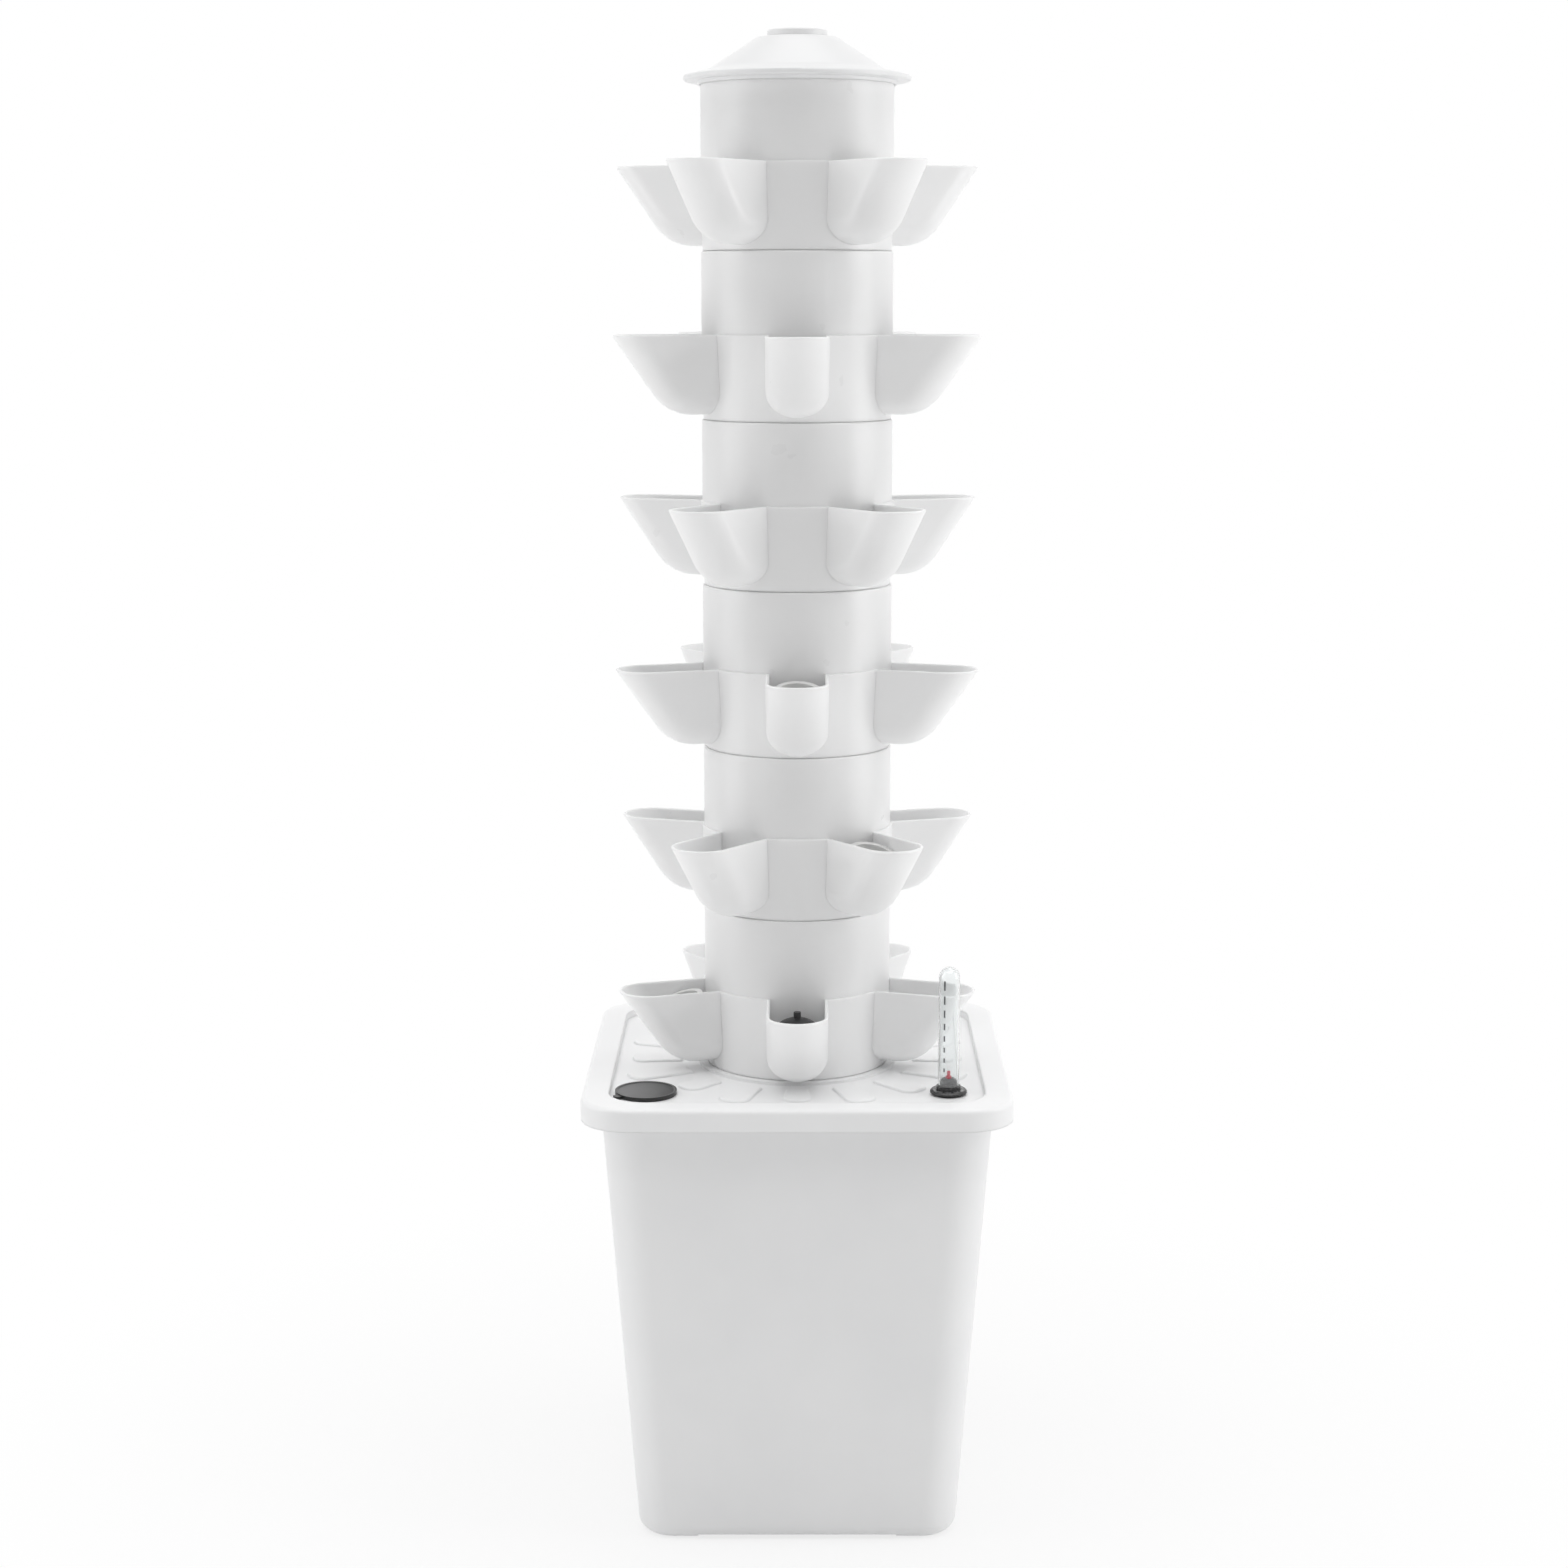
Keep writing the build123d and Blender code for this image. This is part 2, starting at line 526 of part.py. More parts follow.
def make_tier():
    """One tier with its seam at height 0 and a pocket at the front."""
    between_pockets = Rot(0, 0, POCKET_STEP / 4)
    body = between_pockets * turned([
        (0, -SPIGOT_LENGTH), (SPIGOT_RADIUS - TUBE_CHAMFER, -SPIGOT_LENGTH),
        (SPIGOT_RADIUS, TUBE_CHAMFER - SPIGOT_LENGTH), (SPIGOT_RADIUS, 0), (COLLAR_FOOT_RADIUS, 0),
        (COLLAR_RIM_RADIUS, COLLAR_HEIGHT), (0, COLLAR_HEIGHT),
    ])
    headroom = disc(2 * POCKET_REACH, 0, 2 * POCKET_NOSE)
    outside = pocket_form(POCKET_HALF_WIDTH, POCKET_NOSE) - headroom
    cavity = pocket_form(POCKET_HALF_WIDTH - POCKET_WALL, POCKET_NOSE - POCKET_WALL)
    places = []
    for index in range(POCKETS):
        places.append(Rot(0, 0, index * POCKET_STEP - 90) * Pos(0, 0, COLLAR_HEIGHT))
    for place in places:
        body += place * outside
    collar_bore = COLLAR_FOOT_RADIUS - COLLAR_WALL
    spigot_bore = SPIGOT_RADIUS - SPIGOT_WALL
    body -= between_pockets * turned([
        (0, -SPIGOT_LENGTH - OVERCUT), (spigot_bore, -SPIGOT_LENGTH - OVERCUT), (spigot_bore, 0),
        (collar_bore, COLLAR_STEP), (collar_bore, COLLAR_HEIGHT + OVERCUT), (0, COLLAR_HEIGHT + OVERCUT),
    ])
    for place in places:
        body -= place * cavity
    tube = turned([
        (TUBE_BORE, COLLAR_HEIGHT - POCKET_SKIRT), (TUBE_RADIUS, COLLAR_HEIGHT - POCKET_SKIRT),
        (TUBE_RADIUS, TUBE_TOP - TUBE_CHAMFER), (TUBE_RADIUS - TUBE_CHAMFER, TUBE_TOP), (TUBE_BORE, TUBE_TOP),
    ])
    return body + between_pockets * tube


def lipped(tier):
    """Round the tier's rim, on the collar and around every pocket."""
    rim = (COLLAR_HEIGHT - RIM_TOLERANCE, COLLAR_HEIGHT + RIM_TOLERANCE)
    lip = []
    for edge in tier.edges().filter_by_position(Axis.Z, *rim):
        middle = edge @ 0.5
        if math.hypot(middle.X, middle.Y) > (TUBE_RADIUS + COLLAR_RIM_RADIUS) / 2:
            lip.append(edge)
    return fillet(lip, POCKET_LIP)


def tier_turn(number):
    """Even tiers have a pocket at the front, odd ones are turned by half a pocket's spacing."""
    return 0 if number % 2 == 0 else POCKET_STEP / 2


def tier_base(number):
    """Height of a tier's seam, counted from the top tier."""
    return TOWER_BASE + (TIER_COUNT - number) * TIER_PITCH


# Net cups and the plug, built in a pocket along +X below a rim at height 0
def make_net_cup():
    cup = turned([
        (0, 0), (NET_CUP_FLOOR_RADIUS, 0), (NET_CUP_TOP_RADIUS, NET_CUP_HEIGHT - NET_CUP_RIM_THICKNESS),
        (NET_CUP_RIM_RADIUS, NET_CUP_HEIGHT - NET_CUP_RIM_THICKNESS), (NET_CUP_RIM_RADIUS, NET_CUP_HEIGHT),
        (NET_CUP_TOP_RADIUS - NET_CUP_WALL, NET_CUP_HEIGHT),
        (NET_CUP_FLOOR_RADIUS - NET_CUP_WALL, NET_CUP_WALL), (0, NET_CUP_WALL),
    ])
    slot_height = NET_CUP_HEIGHT - 2 * NET_CUP_SLOT_MARGIN
    slot = Box(2 * NET_CUP_TOP_RADIUS, NET_CUP_SLOT_WIDTH, slot_height, align=OUT_FROM_AXIS)
    for index in range(NET_CUP_SLOTS):
        cup -= Rot(0, 0, index * 360 / NET_CUP_SLOTS) * Pos(0, 0, NET_CUP_SLOT_MARGIN) * slot
    cup -= disc(NET_CUP_FLOOR_HOLE, -OVERCUT, NET_CUP_WALL + OVERCUT)
    return Pos(NET_CUP_SEAT, 0, -NET_CUP_SINK) * Rot(0, NET_CUP_TILT, 0) * cup


def make_plug():
    rim = -PLUG_TOP - PLUG_DOME
    dome_radius = (PLUG_RADIUS ** 2 + PLUG_DOME ** 2) / (2 * PLUG_DOME)
    dome = RadiusArc((PLUG_RADIUS, rim), (0, -PLUG_TOP), -dome_radius)
    sides = Polyline((0, -PLUG_TOP), (0, rim), (PLUG_RADIUS, rim))
    plug = revolve(Plane.XZ * make_face(sides.edges() + dome.edges()), Axis.Z)
    plug += disc(PLUG_NUB_RADIUS, rim, PLUG_NUB_HEIGHT - PLUG_TOP)
    inner = PLUG_RADIUS - PLUG_WALL
    tip_inner = PLUG_TIP_RADIUS - PLUG_WALL / 2
    tip_top = PLUG_WALL - PLUG_TIP_DEPTH
    plug += turned([
        (inner, rim), (PLUG_RADIUS, rim), (PLUG_RADIUS, -PLUG_TAPER_DEPTH), (PLUG_TIP_RADIUS, -PLUG_TIP_DEPTH),
        (0, -PLUG_TIP_DEPTH), (0, tip_top), (tip_inner, tip_top), (inner, -PLUG_TAPER_DEPTH),
    ])
    return Pos(PLUG_SEAT, 0, 0) * plug


def in_pocket(shape, number, angle):
    """Place a piece built along +X in the pocket of a tier at an angle from the front."""
    return Rot(0, 0, angle - 90) * Pos(0, 0, tier_base(number) + COLLAR_HEIGHT) * shape


# Top cap and drip tray
TRAY_FLANGE_TOP = TOWER_TOP + SEAT_GAP + TRAY_THICKNESS
TRAY_FLOOR_TOP = TRAY_FLANGE_TOP - TRAY_DEPTH


def make_top_cap():
    brim = TOWER_TOP - CAP_BRIM_DROP
    brim_top = brim + CAP_BRIM_THICKNESS
    flare = TOWER_TOP + CAP_FLARE_HEIGHT
    shoulder = TOWER_TOP + CAP_SHOULDER_HEIGHT
    knob = TOWER_TOP + CAP_HEIGHT
    seat = TRAY_FLANGE_TOP + SEAT_GAP
    skirt_bottom = brim - CAP_SKIRT
    skirt_inner = TUBE_RADIUS + SLIDE_GAP
    skirt_outer = skirt_inner + CAP_SKIRT_WALL
    ring_bottom = seat - CAP_RING_DEPTH
    ring_inner = CAP_RING_RADIUS - CAP_WALL
    outline = make_face(Polyline(
        (0, knob), (CAP_KNOB_RADIUS, knob), (CAP_KNOB_RADIUS, TOWER_TOP + CAP_KNOB_BASE),
        (CAP_SHOULDER_RADIUS, shoulder), (CAP_FLARE_RADIUS, flare),
        (CAP_BRIM_RADIUS, brim_top), (CAP_BRIM_RADIUS, brim), (skirt_outer, brim), (skirt_outer, skirt_bottom),
        (skirt_inner, skirt_bottom), (skirt_inner, seat), (CAP_RING_RADIUS, seat),
        (CAP_RING_RADIUS, ring_bottom), (ring_inner, ring_bottom), (ring_inner, flare - CAP_WALL / 2),
        (CAP_SHOULDER_RADIUS - CAP_WALL, shoulder - CAP_WALL), (0, shoulder - CAP_WALL),
        close=True,
    ))
    for corner, radius in (
        ((CAP_KNOB_RADIUS, knob), CAP_KNOB_EDGE),
        ((CAP_SHOULDER_RADIUS, shoulder), CAP_SHOULDER_ROUND),
        ((CAP_FLARE_RADIUS, flare), CAP_FLARE_ROUND),
        ((CAP_BRIM_RADIUS, brim_top), CAP_BRIM_EDGE),
        ((CAP_BRIM_RADIUS, brim), CAP_BRIM_EDGE),
    ):
        outline = fillet(outline.vertices().sort_by_distance((*corner, 0))[:1], radius)
    return revolve(Plane.XZ * outline, Axis.Z)


def make_drip_tray():
    floor_bottom = TRAY_FLOOR_TOP - TRAY_THICKNESS
    flange_bottom = TOWER_TOP + SEAT_GAP
    socket_bore = RISER_RADIUS + SEAT_GAP
    socket_radius = socket_bore + TRAY_SOCKET_WALL
    socket_bottom = floor_bottom - TRAY_SOCKET_LENGTH
    wall_bore = TRAY_RADIUS - TRAY_THICKNESS
    tray = turned([
        (socket_bore, socket_bottom), (socket_radius, socket_bottom), (socket_radius, floor_bottom),
        (TRAY_RADIUS, floor_bottom), (TRAY_RADIUS, flange_bottom), (TRAY_FLANGE_RADIUS, flange_bottom),
        (TRAY_FLANGE_RADIUS, TRAY_FLANGE_TOP), (wall_bore, TRAY_FLANGE_TOP), (wall_bore, TRAY_FLOOR_TOP),
        (socket_bore, TRAY_FLOOR_TOP),
    ])
    for index in range(TRAY_HOLES):
        hole = disc(TRAY_HOLE_RADIUS, floor_bottom - OVERCUT, TRAY_FLOOR_TOP + OVERCUT)
        tray -= Rot(0, 0, index * 360 / TRAY_HOLES) * Pos(TRAY_HOLE_CIRCLE, 0, 0) * hole
    return tray


# Pump on the tank's floor, with its outlet under the riser
PUMP_BOTTOM = TANK_FLOOR_TOP + PUMP_CUP_HEIGHT
PUMP_TOP = PUMP_BOTTOM + PUMP_HEIGHT
PUMP_AXIS = PUMP_BOTTOM + PUMP_HEIGHT / 2
PUMP_WELL_END = PUMP_CHAMBER_BACK + PUMP_WELL_DEPTH
PUMP_SHAFT_BORE = PUMP_SHAFT_RADIUS + RUN_GAP
PUMP_COVER_FRONT = -PUMP_FRONT - PUMP_COVER_THICKNESS


def on_pump_axis(shape):
    """Lay a piece built about Z along the pump's axis, with its height running to the back."""
    return Pos(0, 0, PUMP_AXIS) * Rot(-90, 0, 0) * shape


def make_pump_housing():
    length = PUMP_FRONT + PUMP_BACK
    body = Pos(0, (PUMP_BACK - PUMP_FRONT) / 2, PUMP_AXIS) * Box(PUMP_WIDTH, length, PUMP_HEIGHT)
    body = fillet(body.edges().filter_by(Axis.Y), PUMP_CORNER)
    body -= on_pump_axis(disc(PUMP_CHAMBER_RADIUS, -PUMP_FRONT - OVERCUT, PUMP_CHAMBER_BACK))
    body -= on_pump_axis(disc(PUMP_WELL_RADIUS, PUMP_CHAMBER_BACK - OVERCUT, PUMP_WELL_END))
    body -= on_pump_axis(disc(PUMP_SHAFT_BORE, PUMP_WELL_END - OVERCUT, PUMP_WELL_END + PUMP_SHAFT_SOCKET))
    body -= disc(PUMP_OUTLET_BORE, PUMP_AXIS, PUMP_TOP + OVERCUT)
    return body


def make_pump_chamber_cover():
    middle = Pos(0, -PUMP_FRONT - PUMP_COVER_THICKNESS / 2, PUMP_AXIS)
    plate = middle * Box(PUMP_COVER_WIDTH, PUMP_COVER_THICKNESS, PUMP_COVER_HEIGHT)
    plate = fillet(plate.edges().filter_by(Axis.Y), PUMP_CORNER)
    plate -= on_pump_axis(disc(PUMP_INLET_RADIUS, PUMP_COVER_FRONT - OVERCUT, -PUMP_FRONT + OVERCUT))
    plate += middle * Box(2 * PUMP_INLET_RADIUS + PUMP_BRIDGE, PUMP_COVER_THICKNESS, PUMP_BRIDGE)
    plate -= on_pump_axis(disc(PUMP_SHAFT_BORE, PUMP_COVER_FRONT + OVERCUT, -PUMP_FRONT + OVERCUT))
    return plate


def make_pump_inlet_cover():
    align = (Align.CENTER, Align.MAX, Align.CENTER)
    shell = Box(PUMP_COVER_WIDTH, PUMP_STRAINER_DEPTH, PUMP_COVER_HEIGHT, align=align)
    shell = fillet(shell.edges().filter_by(Axis.Y), PUMP_CORNER)
    inner_width = PUMP_COVER_WIDTH - 2 * PUMP_STRAINER_WALL
    inner_height = PUMP_COVER_HEIGHT - 2 * PUMP_STRAINER_WALL
    hollow = Box(inner_width, PUMP_STRAINER_DEPTH - PUMP_STRAINER_WALL, inner_height, align=align)
    shell -= fillet(hollow.edges().filter_by(Axis.Y), PUMP_CORNER - PUMP_STRAINER_WALL)
    pitch = (inner_width - PUMP_CORNER) / PUMP_STRAINER_SLOTS
    for index in range(PUMP_STRAINER_SLOTS):
        place = Pos((index - (PUMP_STRAINER_SLOTS - 1) / 2) * pitch, -PUMP_STRAINER_DEPTH, 0)
        shell -= place * Box(PUMP_SLOT_WIDTH, 2 * (PUMP_STRAINER_WALL + OVERCUT), inner_height - PUMP_CORNER)
    return Pos(0, PUMP_COVER_FRONT, PUMP_AXIS) * shell


def make_pump_impeller():
    front = -PUMP_FRONT + PUMP_END_PLAY
    magnet_front = PUMP_WELL_END - PUMP_END_PLAY - PUMP_MAGNET_LENGTH
    wheel = disc(PUMP_HUB_RADIUS, front, magnet_front)
    blade = Box(PUMP_BLADE_RADIUS, PUMP_BLADE_THICKNESS, PUMP_BLADE_LENGTH, align=OUT_FROM_AXIS)
    for index in range(PUMP_BLADES):
        wheel += Rot(0, 0, index * 360 / PUMP_BLADES) * Pos(0, 0, front) * blade
    wheel += disc(PUMP_MAGNET_RADIUS, magnet_front, PUMP_WELL_END - PUMP_END_PLAY)
    wheel -= disc(PUMP_SHAFT_BORE, front - OVERCUT, PUMP_WELL_END)
    return on_pump_axis(wheel)


def make_pump_shaft():
    front = PUMP_COVER_FRONT + OVERCUT + RUN_GAP
    return on_pump_axis(disc(PUMP_SHAFT_RADIUS, front, PUMP_WELL_END + PUMP_SHAFT_SOCKET - RUN_GAP))


PUMP_OUTLET_RADIUS = RISER_RADIUS - RISER_WALL - SEAT_GAP
RISER_BOTTOM = PUMP_TOP + PUMP_OUTLET_FLANGE_THICKNESS


def make_pump_outlet():
    spigot_top = RISER_BOTTOM + PUMP_OUTLET_LENGTH
    return turned([
        (PUMP_OUTLET_BORE, PUMP_TOP), (PUMP_OUTLET_FLANGE, PUMP_TOP), (PUMP_OUTLET_FLANGE, RISER_BOTTOM),
        (PUMP_OUTLET_RADIUS, RISER_BOTTOM), (PUMP_OUTLET_RADIUS, spigot_top), (PUMP_OUTLET_BORE, spigot_top),
    ])


def make_pump_suction_cups():
    waist = TANK_FLOOR_TOP + PUMP_CUP_HEIGHT / 2
    cup = turned([
        (0, TANK_FLOOR_TOP), (PUMP_CUP_RADIUS, TANK_FLOOR_TOP), (PUMP_CUP_NECK, waist),
        (PUMP_CUP_NECK, PUMP_BOTTOM), (0, PUMP_BOTTOM),
    ])
    cups = []
    for x in (PUMP_CUP_INSET - PUMP_WIDTH / 2, PUMP_WIDTH / 2 - PUMP_CUP_INSET):
        for y in (PUMP_CUP_INSET - PUMP_FRONT, PUMP_BACK - PUMP_CUP_INSET):
            cups.append(Pos(x, y, 0) * cup)
    return Compound(children=cups)


def make_pump_cord_gland():
    gland = disc(PUMP_GLAND_RADIUS, PUMP_BACK, PUMP_BACK + PUMP_GLAND_LENGTH)
    gland -= disc(PUMP_GLAND_BORE, PUMP_BACK + PUMP_GLAND_BORE, PUMP_BACK + PUMP_GLAND_LENGTH + OVERCUT)
    return on_pump_axis(gland)


# Riser pipe in three lengths, joined by two couplers
RISER_TOP = TRAY_FLOOR_TOP + RISER_ABOVE_TRAY
HALF_STOP = COUPLER_STOP / 2


def make_riser_pipe(bottom, top):
    return ring(RISER_RADIUS, RISER_RADIUS - RISER_WALL, bottom, top)


def make_riser_coupler(joint):
    bore = RISER_RADIUS + SEAT_GAP
    outer = bore + COUPLER_WALL
    stop_bore = RISER_RADIUS - RISER_WALL
    half = COUPLER_LENGTH / 2
    return turned([
        (bore, joint - half), (outer, joint - half), (outer, joint + half), (bore, joint + half),
        (bore, joint + HALF_STOP), (stop_bore, joint + HALF_STOP),
        (stop_bore, joint - HALF_STOP), (bore, joint - HALF_STOP),
    ])


pieces = {
    "tank": make_tank(),
    "tank_lid": make_lid(),
    "fill_cap": make_fill_cap(),
    "cord_grommet": make_cord_grommet(),
    "gauge_base": make_gauge_base(),
    "gauge_seal": make_gauge_seal(),
    "gauge_nut": make_gauge_nut(),
    "gauge_tube": make_gauge_tube(),
    "gauge_rod": make_gauge_rod(),
    "gauge_float": make_gauge_float(),
    "top_cap": make_top_cap(),
    "drip_tray": make_drip_tray(),
    "pump_housing": make_pump_housing(),
    "pump_chamber_cover": make_pump_chamber_cover(),
    "pump_inlet_cover": make_pump_inlet_cover(),
    "pump_impeller": make_pump_impeller(),
    "pump_shaft": make_pump_shaft(),
    "pump_outlet": make_pump_outlet(),
    "pump_suction_cups": make_pump_suction_cups(),
    "pump_cord_gland": make_pump_cord_gland(),
    "riser_pipe_lower": make_riser_pipe(RISER_BOTTOM, RISER_LOWER_JOINT - HALF_STOP),
    "riser_coupler_lower": make_riser_coupler(RISER_LOWER_JOINT),
    "riser_pipe_middle": make_riser_pipe(RISER_LOWER_JOINT + HALF_STOP, RISER_UPPER_JOINT - HALF_STOP),
    "riser_coupler_upper": make_riser_coupler(RISER_UPPER_JOINT),
    "riser_pipe_upper": make_riser_pipe(RISER_UPPER_JOINT + HALF_STOP, RISER_TOP),
    "pocket_plug": in_pocket(make_plug(), TIER_COUNT, 0),
}

# The six tiers are one moulding, turned by half a pocket's spacing at each step
tier = lipped(make_tier())
for number in range(1, TIER_COUNT + 1):
    pieces[f"tier_{number}"] = Pos(0, 0, tier_base(number)) * Rot(0, 0, tier_turn(number)) * tier

# One planted pocket on each tier
net_cup = make_net_cup()
for number, pocket in enumerate(PLANTED_POCKETS, start=1):
    pieces[f"net_cup_{number}"] = in_pocket(net_cup, number, tier_turn(number) + pocket * POCKET_STEP)

os.makedirs("parts", exist_ok=True)
for name, piece in pieces.items():
    export_step(piece, f"parts/{name}.step")
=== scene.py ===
import math
import bmesh
import bpy
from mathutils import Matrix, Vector


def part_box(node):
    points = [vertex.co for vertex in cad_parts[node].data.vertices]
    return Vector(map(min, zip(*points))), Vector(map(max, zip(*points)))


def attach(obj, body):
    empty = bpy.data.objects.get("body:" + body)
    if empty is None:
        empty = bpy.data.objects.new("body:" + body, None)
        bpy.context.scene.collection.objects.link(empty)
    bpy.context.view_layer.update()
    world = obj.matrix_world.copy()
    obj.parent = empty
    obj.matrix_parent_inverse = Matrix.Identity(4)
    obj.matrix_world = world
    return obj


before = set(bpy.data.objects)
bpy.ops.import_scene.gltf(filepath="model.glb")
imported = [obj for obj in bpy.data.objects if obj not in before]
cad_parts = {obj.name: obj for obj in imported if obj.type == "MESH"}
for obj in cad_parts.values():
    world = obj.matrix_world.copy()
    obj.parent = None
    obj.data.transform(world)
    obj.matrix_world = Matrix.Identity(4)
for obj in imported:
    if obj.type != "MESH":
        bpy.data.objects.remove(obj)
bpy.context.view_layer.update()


# Tank: a tapered square tub, injection moulded in white polypropylene with a fine satin skin.
# It stands on four corner feet of its own, and everything else stands on it or inside it.
class Wire:
    """One output of a shader node: sums and products of wires add the Math nodes that work them out."""

    def __init__(self, tree, socket=None):
        self.tree = tree
        self.socket = socket

    def node(self, kind, settings=None, inputs=None, output=0):
        """Add a node, first its settings and then its sockets' values or links, and give one output."""
        made = self.tree.nodes.new(kind)
        for name, value in (settings or {}).items():
            if name == "stops":
                self.set_stops(made.color_ramp.elements, value)
            else:
                setattr(made, name, value)
        for name, value in (inputs or {}).items():
            if isinstance(value, Wire):
                self.tree.links.new(value.socket, made.inputs[name])
            else:
                made.inputs[name].default_value = value
        return Wire(self.tree, made.outputs[output] if made.outputs else None)

    @staticmethod
    def set_stops(elements, stops):
        """Give a colour ramp its stops, each a position and a colour."""
        while len(elements) < len(stops):
            elements.new(1.0)
        for element, (position, colour) in zip(elements, stops):
            element.position = position
            element.color = (*colour, 1.0)

    def maths(self, operation, first, second):
        return self.node("ShaderNodeMath", {"operation": operation}, {0: first, 1: second})

    def __add__(self, other):
        return self.maths("ADD", self, other)

    def __radd__(self, other):
        return self.maths("ADD", other, self)

    def __sub__(self, other):
        return self.maths("SUBTRACT", self, other)

    def __rsub__(self, other):
        return self.maths("SUBTRACT", other, self)

    def __mul__(self, other):
        return self.maths("MULTIPLY", self, other)

    def __rmul__(self, other):
        return self.maths("MULTIPLY", other, self)


def start_finish(name):
    """A new empty material, with a wire to hang its nodes on."""
    material = bpy.data.materials.new(name)
    material.use_nodes = True
    material.node_tree.nodes.clear()
    return material, Wire(material.node_tree)


def end_finish(shop, **sockets):
    """Close a finish with its shader, whose sockets are named with underscores for spaces."""
    inputs = {name.replace("_", " "): value for name, value in sockets.items()}
    shader = shop.node("ShaderNodeBsdfPrincipled", inputs=inputs)
    shop.node("ShaderNodeOutputMaterial", inputs={"Surface": shader})


def speckle(shop, size, detail=2.0):
    """Noise from 0 to 1 whose features are about as big as size, in metres."""
    place = shop.node("ShaderNodeTexCoord", output="Object")
    return shop.node("ShaderNodeTexNoise", inputs={"Vector": place, "Scale": 1 / size, "Detail": detail})


def drawn_out(shop, scale, detail=2.0):
    """Noise from 0 to 1 with a scale of its own along each axis."""
    place = shop.node("ShaderNodeTexCoord", output="Object")
    stretched = shop.node("ShaderNodeMapping", inputs={"Vector": place, "Scale": scale})
    return shop.node("ShaderNodeTexNoise", inputs={"Vector": stretched, "Scale": 1.0, "Detail": detail})


def tint(shop, factor, *stops):
    """A colour that goes from stop to stop as the factor rises."""
    return shop.node("ShaderNodeValToRGB", {"stops": stops}, {"Fac": factor})


def wandering(base, spread, noise):
    """A value that wanders round its base by half the spread each way, as the noise does."""
    return base + spread * (noise - 0.5)


EDGE_SAMPLES = 6


def soft_edges(shop, radius):
    """The surface's normal with its moulded edges rounded by a radius."""
    return shop.node("ShaderNodeBevel", {"samples": EDGE_SAMPLES}, {"Radius": radius})


SKIN_DEPTH = 0.0001


def fine_skin(shop, height, strength, normal):
    """A normal with the fine relief of a moulded skin added."""
    return shop.node("ShaderNodeBump", inputs={
        "Strength": strength, "Distance": SKIN_DEPTH, "Height": height, "Normal": normal,
    })


WHITE_PALE = (0.915, 0.916, 0.918)
WHITE_DEEP = (0.890, 0.892, 0.896)
WHITE_CLOUDS = 0.09
WHITE_WIPES = 0.03
WHITE_GLOSS_SPREAD = 0.12
WHITE_GRAIN = 0.0009
WHITE_GRAIN_STRENGTH = 0.10
WHITE_IOR = 1.49
FLOW_SCALE = (45.0, 45.0, 1.5)
FLOW_DEPTH = 0.0004


def white_plastic(name, gloss, edge, pale=WHITE_PALE, deep=WHITE_DEEP, **sockets):
    """Satin white polypropylene: faint clouds of tone, uneven gloss, upright flow bands and a fine skin."""
    material, shop = start_finish(name)
    tone = tint(shop, speckle(shop, WHITE_CLOUDS), (0.35, deep), (0.65, pale))
    wiped = speckle(shop, WHITE_WIPES, detail=4.0)
    flow = drawn_out(shop, FLOW_SCALE, detail=1.0)
    bands = shop.node("ShaderNodeBump", inputs={
        "Strength": 1.0, "Distance": FLOW_DEPTH, "Height": flow, "Normal": soft_edges(shop, edge),
    })
    relief = fine_skin(shop, speckle(shop, WHITE_GRAIN), WHITE_GRAIN_STRENGTH, bands)
    uneven = wandering(gloss, WHITE_GLOSS_SPREAD, wiped)
    end_finish(shop, Base_Color=tone, Roughness=uneven, Normal=relief, IOR=WHITE_IOR, **sockets)
    return material


def dress(finish, *names):
    """Give CAD nodes a finish."""
    for name in names:
        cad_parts[name].material_slots[0].material = finish


TANK_GLOSS = 0.36
TANK_EDGE = 0.0012
dress(white_plastic("tank_white", TANK_GLOSS, TANK_EDGE), "tank")


# Pump: a small magnet-driven pump of satin black mouldings, held to the tank's floor by four rubber
# suction cups. Its impeller turns on a ground steel shaft between the chamber's back and its cover.
DARK_PATCHES = 0.02
DARK_GLOSS_SPREAD = 0.15
DARK_GRAIN = 0.0007
DARK_GRAIN_STRENGTH = 0.25
DARK_EDGE = 0.0006
DARK_IOR = 1.5


def dark_plastic(name, colour, worn, gloss):
    """Dark moulded plastic with a fine spark-eroded grain and slightly paler worn patches."""
    material, shop = start_finish(name)
    patches = speckle(shop, DARK_PATCHES, detail=4.0)
    tone = tint(shop, patches, (0.40, colour), (0.75, worn))
    grain = speckle(shop, DARK_GRAIN, detail=3.0)
    relief = fine_skin(shop, grain, DARK_GRAIN_STRENGTH, soft_edges(shop, DARK_EDGE))
    uneven = wandering(gloss, DARK_GLOSS_SPREAD, patches)
    end_finish(shop, Base_Color=tone, Roughness=uneven, Normal=relief, IOR=DARK_IOR)
    return material


RUBBER_BLOOM = 0.006
RUBBER_BLACK = (0.016, 0.016, 0.016)
RUBBER_DUSTY = (0.045, 0.045, 0.044)
RUBBER_ROUGHNESS = 0.70
RUBBER_ROUGHNESS_SPREAD = 0.20
RUBBER_GRAIN = 0.0005
RUBBER_GRAIN_STRENGTH = 0.30


